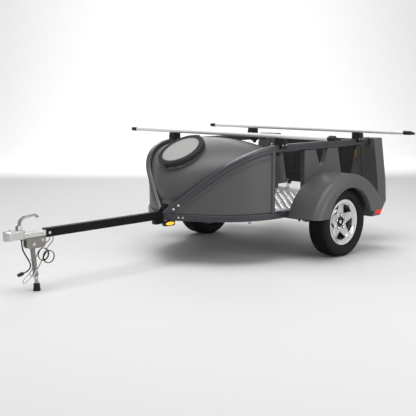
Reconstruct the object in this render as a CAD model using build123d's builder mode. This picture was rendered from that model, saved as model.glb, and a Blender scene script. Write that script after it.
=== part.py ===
from build123d import *
import os
from math import asin, atan, atan2, cos, degrees, hypot, radians, sin, tan

# Kayak trailer: two curved rails over a moulded nose box, fender pods, tail posts and load bars.
# Millimetres. X is the trailer's left, -Y its front (the coupler), Z up from the ground.

os.makedirs("parts", exist_ok=True)

# Overall arrangement
COUPLER_REACH = 2540      # axle to the coupler's nose
TAIL_REACH = 760          # axle to the backs of the tail posts
TRACK_HALF = 735          # middle of a tyre from the centre plane
TYRE_R = 272
TYRE_W = 168
RUN_GAP = 0.3             # between pieces that lie against each other
PIN_GAP = 0.05            # radial running fit of pins, spindles and tubes
AXLE_Y = (COUPLER_REACH - TAIL_REACH) / 2

# Lower frame
TONGUE_W = 50
TONGUE_H = 60
TONGUE_Z = 380
TONGUE_FRONT = 2234       # axle to the tongue's front end
RAIL_X = TRACK_HALF - 155 # rails' centre line beside the load bay
LOWER_RAIL_W = 40
LOWER_RAIL_H = 50
LOWER_RAIL_TOP = 390
LOWER_RAIL_R = 7
RAIL_REAR = 618           # axle to the rear ends of the upper rails
RAIL_CAP_T = 16
NOSE_CORNER = 884         # axle to where the straight side and the slanted nose line cross
NOSE_SLANT = 27.7         # nose line from the X axis, in plan
NOSE_RADIUS = 600         # plan bend of the lower rails

# Upper rails, each in a plane that rises from over the tongue to its straight stretch
RAIL_FOOT_Z = 372.64      # the planes' height over the tongue's middle
UPPER_RAIL_Z = 868        # centre of the straight stretch
UPPER_RAIL_W = 45
UPPER_RAIL_H = 58
UPPER_RAIL_R = 14
GROOVE_RISE = 8           # groove on the outer face, above the section's middle
GROOVE_W = 7
GROOVE_DEEP = 3
UPPER_BEND = 560

# Nose box
BOX_REAR = 600            # axle to the box's rear face
SHELL_T = 18              # moulded double wall
BULKHEAD_T = 20
FAN_Z = 400               # height of the line that the cover's sections fan about
COVER_INSET = 14          # rail centre line to the cover's untrimmed edge

# Hatch
HATCH_Y = 995
HATCH_Z = 862
HATCH_TILT = 32.2
RING_R = 188
HATCH_R = 152
NECK_R = 179
COLLAR_TOP = 16           # below the ring's top plane
COLLAR_BASE = 36
NECK_DEPTH = 105

# Deck and axle
DECK_T = 3
CROSS_T = 40
BEAM = 58                 # square axle beam
BEAM_Y = 170              # beam ahead of the wheel's axis
ARM_T = 18

# Load bars
BAR_HALF = 1101
BAR_FRONT = 512
BAR_REAR = 478
BAR_BOTTOM = 945
BAR_NOSE_R = 15
BAR_TAIL_R = 7
BAR_CHORD = 82
BAR_SLOT_W = 10
BAR_SLOT_DEEP = 4
CAP_L = 64

# Tail
TAILGATE_Y = 700
TAILGATE_T = 25
TAILGATE_HINGE_Z = 440
TAILGATE_TOP = 876

# Stand
STAND_Y = 2333            # axle to the stand's pivot
STAND_Z = 317
STAND_LEAN = 5.7
LEG_R = 16
TUBE_R = 12.5
FOOT_R = 24
FOOT_H = 52


def cross(y):
    """Plane across the trailer at y, facing forward: local x is X and local y is Z."""
    return Plane.XZ.offset(-y)


def side(x):
    """Plane along the trailer at x, facing left: local x is Y and local y is Z."""
    return Plane.YZ.offset(x)


def mirrored(piece):
    """The right-hand copy of a left-hand piece."""
    with BuildPart() as other:
        mirror(piece.part, about=Plane.YZ)
    return other


def keep(piece, name):
    """Label a finished piece and write it out."""
    piece.part.label = name
    export_step(piece.part, f"parts/{name}.step")


def keep_pair(piece, name):
    """Write a left-hand piece and its right-hand copy."""
    keep(piece, f"{name}_left")
    keep(mirrored(piece), f"{name}_right")


def keep_both(piece, name):
    """Write a small left-hand piece and its right-hand copy as one node."""
    with BuildPart() as both:
        add(piece.part)
        mirror(piece.part, about=Plane.YZ)
    keep(both, name)


def clear_of(envelope):
    """Cut the piece being built clear of a rail and of its right-hand twin."""
    add(envelope.part, mode=Mode.SUBTRACT)
    mirror(envelope.part, about=Plane.YZ, mode=Mode.SUBTRACT)


# Stations along the trailer
TONGUE_FRONT_Y = AXLE_Y - TONGUE_FRONT
BOX_REAR_Y = AXLE_Y - BOX_REAR
RAIL_REAR_Y = AXLE_Y + RAIL_REAR
CORNER_Y = AXLE_Y - NOSE_CORNER
TONGUE_TOP = TONGUE_Z + TONGUE_H / 2
LOWER_RAIL_Z = LOWER_RAIL_TOP - LOWER_RAIL_H / 2
LOWER_RAIL_BASE = LOWER_RAIL_TOP - LOWER_RAIL_H
BAY_HALF = RAIL_X - LOWER_RAIL_W / 2
CROSS_TOP = LOWER_RAIL_TOP - DECK_T
POST_FRONT_Y = RAIL_REAR_Y + RAIL_CAP_T + 2 * RUN_GAP


# Tongue: one straight box beam from the coupler to the front crossmember
with BuildPart() as tongue:
    with BuildSketch(cross(TONGUE_FRONT_Y)):
        with Locations((0, TONGUE_Z)):
            RectangleRounded(TONGUE_W, TONGUE_H, 8)
    extrude(amount=TONGUE_FRONT_Y - BOX_REAR_Y)
keep(tongue, "tongue")


# Lower rails: a slanted nose line, one wide bend and the straight side
def nose_line_y(x):
    """Y of the nose line at x, shared by both rails in plan."""
    return CORNER_Y - (RAIL_X - x) * tan(radians(NOSE_SLANT))


def plan_path(x_front, y_rear):
    """Centre line of a lower rail in plan, rear end first."""
    points = [(RAIL_X, y_rear), (RAIL_X, CORNER_Y), (x_front, nose_line_y(x_front))]
    return FilletPolyline(*points, radius=NOSE_RADIUS)


def sweep_lower_rail(gap):
    """Sweep the lower rail's section, grown by a gap all round."""
    rear_y = POST_FRONT_Y - RUN_GAP
    with BuildLine(Plane.XY.offset(LOWER_RAIL_Z)) as lower_path:
        plan_path(0, rear_y)
    with BuildSketch(cross(rear_y)) as section:
        with Locations((RAIL_X, LOWER_RAIL_Z)):
            RectangleRounded(LOWER_RAIL_W + 2 * gap, LOWER_RAIL_H + 2 * gap, LOWER_RAIL_R + gap)
    sweep(section.sketch, path=lower_path.line)


with BuildPart() as lower_envelope:
    sweep_lower_rail(RUN_GAP)

with BuildPart() as lower_rail:
    sweep_lower_rail(0)
    split(bisect_by=side(TONGUE_W / 2 + RUN_GAP), keep=Keep.TOP)
keep_pair(lower_rail, "lower_rail")


# Upper rails: the same plan, swept in the tilted plane that runs down to the tongue
TILT = atan2(UPPER_RAIL_Z - RAIL_FOOT_Z, RAIL_X)
RAIL_PLANE = Plane((0, 0, RAIL_FOOT_Z), (cos(TILT), 0, sin(TILT)), (-sin(TILT), 0, cos(TILT)))
SIDE_U = RAIL_X / cos(TILT)
SLANT_U = atan(tan(radians(NOSE_SLANT)) * cos(TILT))
TURN = radians(90) - SLANT_U
BEND_U = SIDE_U - UPPER_BEND
BEND_Y = CORNER_Y + UPPER_BEND * tan(TURN / 2)
APEX_SEAT_Z = LOWER_RAIL_TOP + RUN_GAP


def sweep_upper_rail(gap):
    """Sweep the upper rail's section, grown by a gap all round."""
    with BuildLine(RAIL_PLANE) as upper_path:
        points = [(SIDE_U, RAIL_REAR_Y), (SIDE_U, CORNER_Y), (0, nose_line_y(0))]
        FilletPolyline(*points, radius=UPPER_BEND)
    with BuildSketch(cross(RAIL_REAR_Y)) as section:
        with Locations((RAIL_X, UPPER_RAIL_Z)):
            RectangleRounded(UPPER_RAIL_W + 2 * gap, UPPER_RAIL_H + 2 * gap, UPPER_RAIL_R + gap)
        if gap == 0:
            with Locations((RAIL_X + UPPER_RAIL_W / 2, UPPER_RAIL_Z + GROOVE_RISE)):
                Rectangle(2 * GROOVE_DEEP, GROOVE_W, mode=Mode.SUBTRACT)
    sweep(section.sketch, path=upper_path.line)


with BuildPart() as rail_envelope:
    sweep_upper_rail(RUN_GAP)

with BuildPart() as upper_rail:
    sweep_upper_rail(0)
    split(bisect_by=side(TONGUE_W / 2 + RUN_GAP), keep=Keep.TOP)
    split(bisect_by=Plane.XY.offset(APEX_SEAT_Z), keep=Keep.TOP)
keep_pair(upper_rail, "upper_rail")

# Rounded plugs in the rear ends of the upper rails
with BuildPart() as rail_cap:
    with BuildSketch(cross(RAIL_REAR_Y + RUN_GAP)):
        with Locations((RAIL_X, UPPER_RAIL_Z)):
            RectangleRounded(UPPER_RAIL_W + 2, UPPER_RAIL_H + 2, UPPER_RAIL_R + 1)
    extrude(amount=-RAIL_CAP_T)
    fillet(rail_cap.faces().sort_by(Axis.Y)[-1].edges(), 9)
keep_both(rail_cap, "rail_caps")


# Nose cover: arches across the rails in planes that fan about a line at the box's rear floor
def rail_side_point(turn, run, inset):
    """Point beside the left upper rail, inset towards the middle: on the bend, then past it."""
    reach = UPPER_BEND - inset
    u = BEND_U + reach * cos(turn) - run * sin(turn)
    y = BEND_Y - reach * sin(turn) - run * cos(turn)
    return u * cos(TILT), y, RAIL_FOOT_Z + u * sin(TILT)


FULL_TURN = degrees(TURN)
REAR_TURN = degrees(asin((BEND_Y - BOX_REAR_Y) / (UPPER_BEND - COVER_INSET)))
COVER_STATIONS = [
    # turn of the rail, run past the bend, rise of the crown over the edges
    (REAR_TURN, 0, 78),
    (26, 0, 98),
    (46, 0, 112),
    (FULL_TURN, 0, 128),
    (FULL_TURN, 130, 100),
    (FULL_TURN, 262, 34),
]


def cover_section(turn, run):
    """Fan plane, half width and reach of the cover's edge at a station."""
    x, y, z = rail_side_point(radians(turn), run, COVER_INSET)
    angle = atan2(z - FAN_Z, BOX_REAR_Y - y) if turn != REAR_TURN else radians(90)
    plane = Plane((0, BOX_REAR_Y, FAN_Z), (1, 0, 0), (0, -sin(angle), -cos(angle)))
    return plane, x, hypot(z - FAN_Z, BOX_REAR_Y - y)


HATCH = radians(HATCH_TILT)
HATCH_PLANE = Plane((0, AXLE_Y - HATCH_Y, HATCH_Z), (1, 0, 0), (0, -sin(HATCH), cos(HATCH)))

with BuildPart() as nose_cover:
    for turn, run, rise in COVER_STATIONS:
        plane, half, reach = cover_section(turn, run)
        with BuildSketch(plane):
            with BuildLine():
                ThreePointArc((-half, reach), (0, reach + rise), (half, reach))
                Line((half, reach), (half, reach - SHELL_T))
                ThreePointArc((half, reach - SHELL_T), (0, reach + rise - SHELL_T), (-half, reach - SHELL_T))
                Line((-half, reach - SHELL_T), (-half, reach))
            make_face()
    loft()
    clear_of(rail_envelope)
    with BuildSketch(HATCH_PLANE.offset(-NECK_DEPTH)):
        Circle(NECK_R)
    extrude(amount=NECK_DEPTH - COLLAR_BASE - RUN_GAP)
    with BuildSketch(HATCH_PLANE.offset(-NECK_DEPTH - 120)):
        Circle(HATCH_R)
    extrude(amount=NECK_DEPTH + 240, mode=Mode.SUBTRACT)
    # The trimmings outside the rails are dropped
    add(nose_cover.part.solids().sort_by(SortBy.VOLUME)[-1], mode=Mode.REPLACE)
keep(nose_cover, "nose_cover")

# Side panels of the nose box, standing on the lower rails and trimmed to the upper ones
FLANGE_W = 34
FLANGE_L = 30
with BuildPart() as nose_side:
    with BuildSketch(Plane.XY.offset(LOWER_RAIL_TOP + RUN_GAP)):
        with BuildLine() as panel_path:
            plan_path(TONGUE_W / 2 + 20, RAIL_REAR_Y)
        trace(panel_path.line, line_width=SHELL_T)
    extrude(amount=UPPER_RAIL_Z - LOWER_RAIL_TOP)
    split(bisect_by=cross(BOX_REAR_Y), keep=Keep.TOP)
    with BuildSketch(Plane.XY.offset(LOWER_RAIL_TOP + RUN_GAP)):
        with Locations((RAIL_X, BOX_REAR_Y)):
            RectangleRounded(FLANGE_W, FLANGE_L, 9)
    extrude(amount=UPPER_RAIL_Z - LOWER_RAIL_TOP)
    split(bisect_by=RAIL_PLANE, keep=Keep.BOTTOM)
    add(rail_envelope.part, mode=Mode.SUBTRACT)
keep_pair(nose_side, "nose_side")

# Bulkhead that closes the box's rear, and the box's floor over the tongue
BULKHEAD_HALF = RAIL_X - FLANGE_W / 2 - RUN_GAP
with BuildPart() as nose_bulkhead:
    plane, half, reach = cover_section(REAR_TURN, 0)
    rise = COVER_STATIONS[0][2]
    with BuildSketch(cross(BOX_REAR_Y + RUN_GAP)):
        with BuildLine():
            foot = LOWER_RAIL_TOP + RUN_GAP
            shoulder = FAN_Z + reach
            ThreePointArc((-half, shoulder), (0, shoulder + rise), (half, shoulder))
            Polyline((half, shoulder), (half, foot), (-half, foot), (-half, shoulder))
        make_face()
        with Locations((0, UPPER_RAIL_Z)):
            Rectangle(2 * BULKHEAD_HALF, UPPER_RAIL_Z * 2, mode=Mode.INTERSECT)
    extrude(amount=-BULKHEAD_T)
    clear_of(rail_envelope)
keep(nose_bulkhead, "nose_bulkhead")

FLOOR_T = 8
FLOOR_INSET = SHELL_T / 2 + 3
APEX_L = 96
APEX_OVER = 1.5           # bracket's tip ahead of the crossing of the nose lines
APEX_TIP_Y = nose_line_y(0) - APEX_OVER
with BuildPart() as nose_floor:
    with BuildSketch(Plane.XY.offset(TONGUE_TOP + RUN_GAP)):
        with BuildLine():
            edge_x = RAIL_X - FLOOR_INSET
            edge_y = nose_line_y(edge_x) + FLOOR_INSET / cos(radians(NOSE_SLANT))
            front_y = edge_y - edge_x * tan(radians(NOSE_SLANT))
            radius = NOSE_RADIUS - FLOOR_INSET
            FilletPolyline((edge_x, RAIL_REAR_Y), (edge_x, edge_y), (0, front_y), radius=radius)
            Polyline((0, front_y), (0, RAIL_REAR_Y), (edge_x, RAIL_REAR_Y))
        make_face()
        mirror(about=Plane.YZ)
    extrude(amount=FLOOR_T)
    split(bisect_by=cross(BOX_REAR_Y - RUN_GAP), keep=Keep.TOP)
    clear_of(rail_envelope)
    with Locations((0, APEX_TIP_Y + APEX_L / 2 + RUN_GAP, TONGUE_TOP)):
        Box(TONGUE_W + 2 * RUN_GAP, APEX_L, 40, mode=Mode.SUBTRACT)
keep(nose_floor, "nose_floor")

# Hatch: a black collar on the cover's neck, and the lid with its rim and hinge at the rear edge
HINGE_V = RING_R + 10
HINGE_W = -COLLAR_TOP + 1
KNUCKLE_R = 6
PIN_R = 3


def hatch_axle(x, width, radius, mode=Mode.ADD):
    """A cylinder along the hatch's hinge axis, centred at x."""
    start = HATCH_PLANE.from_local_coords((x - width / 2, HINGE_V, HINGE_W))
    with BuildSketch(Plane(start, HATCH_PLANE.y_dir, HATCH_PLANE.x_dir)) as round_end:
        Circle(radius)
    extrude(round_end.sketch, amount=width, mode=mode)


def hatch_block(x, width, v_low, v_high, w_low, w_high):
    """A plain block in the hatch's own axes."""
    with BuildSketch(HATCH_PLANE.offset(w_low)) as outline:
        with Locations((x, (v_low + v_high) / 2)):
            Rectangle(width, v_high - v_low)
    extrude(outline.sketch, amount=w_high - w_low)


EAR_X = 20
EAR_W = 13
with BuildPart() as hatch_collar:
    with BuildSketch(HATCH_PLANE.offset(-COLLAR_BASE)):
        Circle(RING_R)
        Circle(HATCH_R - 2, mode=Mode.SUBTRACT)
    extrude(amount=COLLAR_BASE - COLLAR_TOP)
    for x in (-EAR_X, EAR_X):
        hatch_block(x, EAR_W, RING_R - 6, HINGE_V + 3, -COLLAR_BASE, HINGE_W - 2)
        hatch_axle(x, EAR_W, KNUCKLE_R)
    hatch_axle(0, 2 * EAR_X, PIN_R)
keep(hatch_collar, "hatch_collar")

# Lid: a black rim over the collar with its hinge knuckle, and the pale panel inside it
LID_BASE = -COLLAR_TOP + RUN_GAP
PANEL_DROP = 3
RING_GROOVE_R = 169
RING_GROOVE_W = 6
RING_GROOVE_DEEP = 3
LATCH_TAB_W = 46          # pull on the lid's front edge
LATCH_TAB_OUT = 9
KNUCKLE_HALF = EAR_X - EAR_W / 2 - 1
with BuildPart() as hatch_rim:
    with BuildSketch(HATCH_PLANE.offset(LID_BASE)):
        Circle(RING_R)
        Circle(HATCH_R, mode=Mode.SUBTRACT)
    extrude(amount=-LID_BASE)
    fillet(hatch_rim.edges().group_by(Axis(HATCH_PLANE.origin, HATCH_PLANE.z_dir))[-1], 5)
    with BuildSketch(HATCH_PLANE):
        Circle(RING_GROOVE_R + RING_GROOVE_W / 2)
        Circle(RING_GROOVE_R - RING_GROOVE_W / 2, mode=Mode.SUBTRACT)
    extrude(amount=-RING_GROOVE_DEEP, mode=Mode.SUBTRACT)
    hatch_block(0, LATCH_TAB_W, -RING_R - LATCH_TAB_OUT, 8 - RING_R, LID_BASE, LID_BASE + 9)
    hatch_block(0, 2 * KNUCKLE_HALF, RING_R - 8, HINGE_V, LID_BASE, LID_BASE + 8)
    hatch_axle(0, 2 * KNUCKLE_HALF, KNUCKLE_R)
    hatch_axle(0, 2 * EAR_X, PIN_R + PIN_GAP, Mode.SUBTRACT)
keep(hatch_rim, "hatch_rim")

with BuildPart() as hatch_panel:
    with BuildSketch(HATCH_PLANE.offset(LID_BASE)):
        Circle(HATCH_R - RUN_GAP)
    extrude(amount=-LID_BASE - PANEL_DROP)
keep(hatch_panel, "hatch_panel")


# Deck plate, its crossmembers and the bracket over the tongue at the apex
def bar_across(y_front, length, z_low, z_high, half):
    """A bar across the trailer, from y_front rearwards."""
    with Locations((0, y_front + length / 2, (z_low + z_high) / 2)):
        Box(2 * half, length, z_high - z_low)


CROSS_HALF = BAY_HALF - RUN_GAP
CROSS_MID = AXLE_Y + 60
CROSS_LAST = AXLE_Y + 655
DECK_REAR = AXLE_Y + 722
POST_FOOT_X = RAIL_X - 80
with BuildPart() as crossmembers:
    bar_across(BOX_REAR_Y, CROSS_T, CROSS_TOP - CROSS_T, CROSS_TOP, CROSS_HALF)
    bar_across(CROSS_MID, CROSS_T, CROSS_TOP - CROSS_T, CROSS_TOP, CROSS_HALF)
    bar_across(CROSS_LAST, CROSS_T, CROSS_TOP - CROSS_T, CROSS_TOP, POST_FOOT_X - RUN_GAP)
    clear_of(lower_envelope)
keep(crossmembers, "crossmembers")

with BuildPart() as deck:
    bar_across(BOX_REAR_Y, RAIL_REAR_Y - BOX_REAR_Y, CROSS_TOP, LOWER_RAIL_TOP, CROSS_HALF)
    bar_across(BOX_REAR_Y, DECK_REAR - BOX_REAR_Y, CROSS_TOP, LOWER_RAIL_TOP, POST_FOOT_X - RUN_GAP)
    clear_of(lower_envelope)
keep(deck, "deck")

with BuildPart() as apex_bracket:
    with BuildSketch(side(0)):
        with BuildLine():
            low = TONGUE_TOP + RUN_GAP
            Polyline((APEX_TIP_Y, low), (APEX_TIP_Y, low + 16), (APEX_TIP_Y + 44, low + 52),
                     (APEX_TIP_Y + APEX_L, low + 52), (APEX_TIP_Y + APEX_L, low), close=True)
        make_face()
    extrude(amount=TONGUE_W / 2, both=True)
    fillet(apex_bracket.edges().filter_by(Axis.X).group_by(Axis.Z)[-1], 8)
keep(apex_bracket, "apex_bracket")


# Axle: a square beam under the lower rails, with a trailing arm and spindle each side
BEAM_MID_Y = AXLE_Y - BEAM_Y
BEAM_Z = LOWER_RAIL_BASE - BEAM / 2
BEAM_HALF = RAIL_X + LOWER_RAIL_W / 2 + 4
with BuildPart() as axle_beam:
    with BuildSketch(side(-BEAM_HALF)):
        with Locations((BEAM_MID_Y, BEAM_Z)):
            RectangleRounded(BEAM, BEAM, 6)
    extrude(amount=2 * BEAM_HALF)
keep(axle_beam, "axle_beam")

SPINDLE_R = 14
SPINDLE_END = TRACK_HALF + 12
ARM_X = BEAM_HALF + RUN_GAP
with BuildPart() as torsion_arm:
    with BuildSketch(side(ARM_X)):
        with BuildLine():
            CenterArc((BEAM_MID_Y, BEAM_Z), 27, 0, 360)
            CenterArc((AXLE_Y, TYRE_R), 21, 0, 360)
        make_hull()
    extrude(amount=ARM_T)
    with BuildSketch(side(ARM_X)):
        with Locations((AXLE_Y, TYRE_R)):
            Circle(SPINDLE_R)
    extrude(amount=SPINDLE_END - ARM_X)
keep_pair(torsion_arm, "torsion_arm")


# Wheels: tyre, star rim and hub
def turned(points, radius):
    """Revolve a profile of (distance from the centre plane, radius) about the left wheel's axis."""
    with BuildSketch(Plane((TRACK_HALF, AXLE_Y, TYRE_R), (1, 0, 0), (0, -1, 0))) as profile:
        with BuildLine():
            Polyline(*points, close=True)
        make_face()
        if radius:
            fillet(profile.vertices(), radius)
    revolve(profile.sketch, axis=Axis((TRACK_HALF, AXLE_Y, TYRE_R), (1, 0, 0)))


RIM_R = 180               # flange of a 13 inch rim
SEAT_R = RIM_R - 15       # bead seat
DROP_R = RIM_R - 32       # well between the seats
RIM_HALF = 66
RIM_WALL = 5
FLANGE_IN = RIM_HALF - 6  # inner face of the flange that the bead sits against
TREAD_HALF = 70
WALL_LOW = RIM_R + 10     # where the sidewalls begin to bow out
WALL_MID = (RIM_R + TYRE_R) / 2
with BuildPart() as tyre:
    with BuildSketch(Plane((TRACK_HALF, AXLE_Y, TYRE_R), (1, 0, 0), (0, -1, 0))) as tyre_profile:
        with BuildLine():
            bulge = TYRE_W / 2
            bead = FLANGE_IN - RUN_GAP
            bead_in = bead - 14
            Line((-TREAD_HALF, TYRE_R - 4), (-30, TYRE_R))
            Line((-30, TYRE_R), (30, TYRE_R))
            Line((30, TYRE_R), (TREAD_HALF, TYRE_R - 4))
            ThreePointArc((TREAD_HALF, TYRE_R - 4), (bulge, WALL_MID), (RIM_HALF, RIM_R + RUN_GAP))
            Polyline((RIM_HALF, RIM_R + RUN_GAP), (bead, RIM_R + RUN_GAP), (bead, SEAT_R + RUN_GAP),
                     (bead_in, SEAT_R + RUN_GAP), (bead_in, WALL_LOW))
            ThreePointArc((bead_in, WALL_LOW), (bulge - 14, WALL_MID), (TREAD_HALF - 12, TYRE_R - 17))
            Line((TREAD_HALF - 12, TYRE_R - 17), (12 - TREAD_HALF, TYRE_R - 17))
            ThreePointArc((12 - TREAD_HALF, TYRE_R - 17), (14 - bulge, WALL_MID), (-bead_in, WALL_LOW))
            Polyline((-bead_in, WALL_LOW), (-bead_in, SEAT_R + RUN_GAP), (-bead, SEAT_R + RUN_GAP),
                     (-bead, RIM_R + RUN_GAP), (-RIM_HALF, RIM_R + RUN_GAP))
            ThreePointArc((-RIM_HALF, RIM_R + RUN_GAP), (-bulge, WALL_MID), (-TREAD_HALF, TYRE_R - 4))
        make_face()
        with GridLocations(34, 0, 4, 1):
            with Locations((0, TYRE_R)):
                Rectangle(6, 14, mode=Mode.SUBTRACT)
    revolve(axis=Axis((TRACK_HALF, AXLE_Y, TYRE_R), (1, 0, 0)))
keep_pair(tyre, "tyre")

SPOKES = 5
SPOKE_TURN = 18           # one spoke points straight up
PITCH_R = 56              # lug circle
HUB_FACE = 12             # outside of the hub's flange, from the tyre's centre plane
WINDOW_IN = 78            # window's tip and its wide end, from the wheel's axis
WINDOW_OUT = DROP_R - 7
WINDOW_SPREAD = radians(25)
with BuildSketch() as window:
    with BuildLine():
        tip_x = WINDOW_OUT * cos(WINDOW_SPREAD)
        tip_y = WINDOW_OUT * sin(WINDOW_SPREAD)
        ThreePointArc((tip_x, tip_y), (WINDOW_OUT + 2, 0), (tip_x, -tip_y))
        Polyline((tip_x, -tip_y), (WINDOW_IN, 0), (tip_x, tip_y))
    make_face()
    fillet(window.vertices(), 6)

with BuildPart() as rim:
    turned([
        (-RIM_HALF, RIM_R), (-FLANGE_IN, RIM_R), (-FLANGE_IN, SEAT_R), (-40, SEAT_R), (-28, DROP_R),
        (16, DROP_R), (30, SEAT_R), (FLANGE_IN, SEAT_R), (FLANGE_IN, RIM_R), (RIM_HALF, RIM_R),
        (RIM_HALF, SEAT_R - RIM_WALL), (34, SEAT_R - RIM_WALL), (18, DROP_R - RIM_WALL),
        (-30, DROP_R - RIM_WALL), (-42, SEAT_R - RIM_WALL), (-RIM_HALF, SEAT_R - RIM_WALL),
    ], 0)
    turned([
        (HUB_FACE + RUN_GAP, 42), (HUB_FACE + RUN_GAP, 76), (26, 100), (36, SEAT_R - 9), (44, SEAT_R - 5),
        (54, SEAT_R - 5), (46, DROP_R - 18), (38, 100), (34, 42),
    ], 0)
    with BuildSketch(Plane((TRACK_HALF, AXLE_Y, TYRE_R), (0, 1, 0), (1, 0, 0))):
        with PolarLocations(0, SPOKES, start_angle=SPOKE_TURN - 180 / SPOKES):
            add(window.sketch)
    extrude(amount=80, mode=Mode.SUBTRACT)
    with BuildSketch(Plane((TRACK_HALF + 22, AXLE_Y, TYRE_R), (0, 1, 0), (1, 0, 0))):
        with PolarLocations(PITCH_R, SPOKES, start_angle=SPOKE_TURN):
            Circle(15)
    extrude(amount=60, mode=Mode.SUBTRACT)
    with BuildSketch(Plane((TRACK_HALF, AXLE_Y, TYRE_R), (0, 1, 0), (1, 0, 0))):
        with PolarLocations(PITCH_R, SPOKES, start_angle=SPOKE_TURN):
            Circle(7.3)
    extrude(amount=60, mode=Mode.SUBTRACT)
keep_pair(rim, "rim")

HUB_BACK = ARM_X + ARM_T - TRACK_HALF + 6
HUB_OUT = 30
NUT_SEAT = 22 + RUN_GAP
with BuildPart() as hub:
    turned([
        (HUB_BACK, SPINDLE_R + PIN_GAP), (HUB_BACK, 38), (0, 38), (0, 72), (HUB_FACE, 72),
        (HUB_FACE, 36), (HUB_OUT - 8, 33), (HUB_OUT, 24), (HUB_OUT, 0), (SPINDLE_END - TRACK_HALF + 4, 0),
        (SPINDLE_END - TRACK_HALF + 4, SPINDLE_R + PIN_GAP),
    ], 0)
    with BuildSketch(Plane((TRACK_HALF + HUB_FACE, AXLE_Y, TYRE_R), (0, 1, 0), (1, 0, 0))):
        with PolarLocations(PITCH_R, SPOKES, start_angle=SPOKE_TURN):
            Circle(6)
    extrude(amount=NUT_SEAT - HUB_FACE + 2)
    with BuildSketch(Plane((TRACK_HALF + NUT_SEAT, AXLE_Y, TYRE_R), (0, 1, 0), (1, 0, 0))):
        with PolarLocations(PITCH_R, SPOKES, start_angle=SPOKE_TURN):
            RegularPolygon(10, 6)
    extrude(amount=18)
keep_pair(hub, "hub")


# Fender pods: a flat panel between the rails with a dome over the wheel
POD_IN = RAIL_X - 17
POD_OUT = TRACK_HALF + 152
POD_FACE = RAIL_X + LOWER_RAIL_W / 2 + RUN_GAP
DOME_R = 480
DOME_Z = 175
DOME_BASE = LOWER_RAIL_BASE + RUN_GAP
WELL_R = 316
WELL_IN = TRACK_HALF - 101
WELL_OUT = TRACK_HALF + 110
OPENING_R = 279
LIP_R = 10                # rolled edge of the wheel opening
with BuildPart() as fender:
    with BuildSketch(side(POD_FACE)):
        with Locations((AXLE_Y + 5, DOME_Z)):
            Circle(DOME_R)
        with Locations((AXLE_Y, DOME_BASE - 500)):
            Rectangle(1200, 1000, mode=Mode.SUBTRACT)
    extrude(amount=POD_OUT - POD_FACE)
    fillet(fender.faces().sort_by(Axis.X)[-1].edges().sort_by(Axis.Z)[-1], 62)
    with BuildSketch(side(WELL_IN)):
        with Locations((AXLE_Y, TYRE_R)):
            Circle(WELL_R)
    extrude(amount=WELL_OUT - WELL_IN, mode=Mode.SUBTRACT)
    with BuildSketch(side(WELL_IN)):
        with Locations((AXLE_Y - 20, TYRE_R)):
            Circle(OPENING_R)
    extrude(amount=400, mode=Mode.SUBTRACT)
    lip = fender.faces().filter_by(Axis.X).sort_by(Axis.X)[-1].edges().filter_by(GeomType.CIRCLE)
    fillet(lip.sort_by(SortBy.RADIUS)[0], LIP_R)
    with BuildSketch(side(POD_IN)):
        with BuildLine():
            base = LOWER_RAIL_TOP + RUN_GAP
            top = UPPER_RAIL_Z - UPPER_RAIL_H / 2 - RUN_GAP
            Polyline(
                (AXLE_Y + 440, base), (AXLE_Y - 250, base), (AXLE_Y - 250, top), (AXLE_Y - 112, top),
                (AXLE_Y - 62, 728),
            )
            ThreePointArc((AXLE_Y - 62, 728), (AXLE_Y - 30, 712), (AXLE_Y + 8, 745))
            Polyline(
                (AXLE_Y + 8, 745), (AXLE_Y + 42, top), (AXLE_Y + 178, top), (AXLE_Y + 230, 620),
                (AXLE_Y + 380, 470), (AXLE_Y + 440, base),
            )
        make_face()
    extrude(amount=POD_FACE - POD_IN + 2)
keep_pair(fender, "fender")


# Tail posts: upright moulded pods behind the rails, with lamps let into their feet
POST_BACK_Y = AXLE_Y + TAIL_REACH
LAMP_LOW = 244
LAMP_HIGH = 300
LAMP_L = 92
LAMP_IN = RAIL_X + 50
LAMP_DEEP = 22
POST_GROOVE = 6
with BuildPart() as post_form:
    with BuildSketch(cross(POST_FRONT_Y)) as post_outline:
        with BuildLine():
            Polyline(
                (RAIL_X - 195, 425), (POST_FOOT_X, 425), (POST_FOOT_X, 336), (POST_FOOT_X + 30, 226),
                (RAIL_X + 60, 226), (RAIL_X + 117, 360), (RAIL_X + 107, 540), (RAIL_X + 60, 892),
                (RAIL_X - 106, 892), (RAIL_X - 123, 810), (RAIL_X - 179, 500), close=True,
            )
        make_face()
        fillet(post_outline.vertices(), 12)
    extrude(amount=POST_FRONT_Y - POST_BACK_Y)
    fillet(post_form.faces().sort_by(Axis.Y)[-1].edges(), 10)
    with BuildSketch(cross(POST_FRONT_Y)):
        with BuildLine():
            Polyline((RAIL_X - 87, 900), (RAIL_X - 79, 900), (RAIL_X - 43, 490), (RAIL_X - 51, 490), close=True)
        make_face()
    extrude(amount=-POST_GROOVE, mode=Mode.SUBTRACT)


def lamp_zone(grow, mode):
    """The corner of a post that its lamp takes: along the outer face and round the back."""
    with BuildSketch(Plane.XY.offset(LAMP_LOW - grow)) as zone:
        with Locations((RAIL_X, POST_BACK_Y - LAMP_L - grow)):
            Rectangle(200, 200, align=(Align.MIN, Align.MIN))
        with Locations((LAMP_IN - grow, POST_BACK_Y - LAMP_DEEP - grow)):
            Rectangle(200, 200, align=(Align.MAX, Align.MAX), mode=Mode.SUBTRACT)
    extrude(zone.sketch, amount=LAMP_HIGH - LAMP_LOW + 2 * grow, mode=mode)


with BuildPart() as tail_post:
    add(post_form.part)
    lamp_zone(RUN_GAP, Mode.SUBTRACT)
keep_pair(tail_post, "tail_post")

with BuildPart() as tail_lamp:
    add(post_form.part)
    lamp_zone(0, Mode.INTERSECT)
keep_pair(tail_lamp, "tail_lamp")


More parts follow.
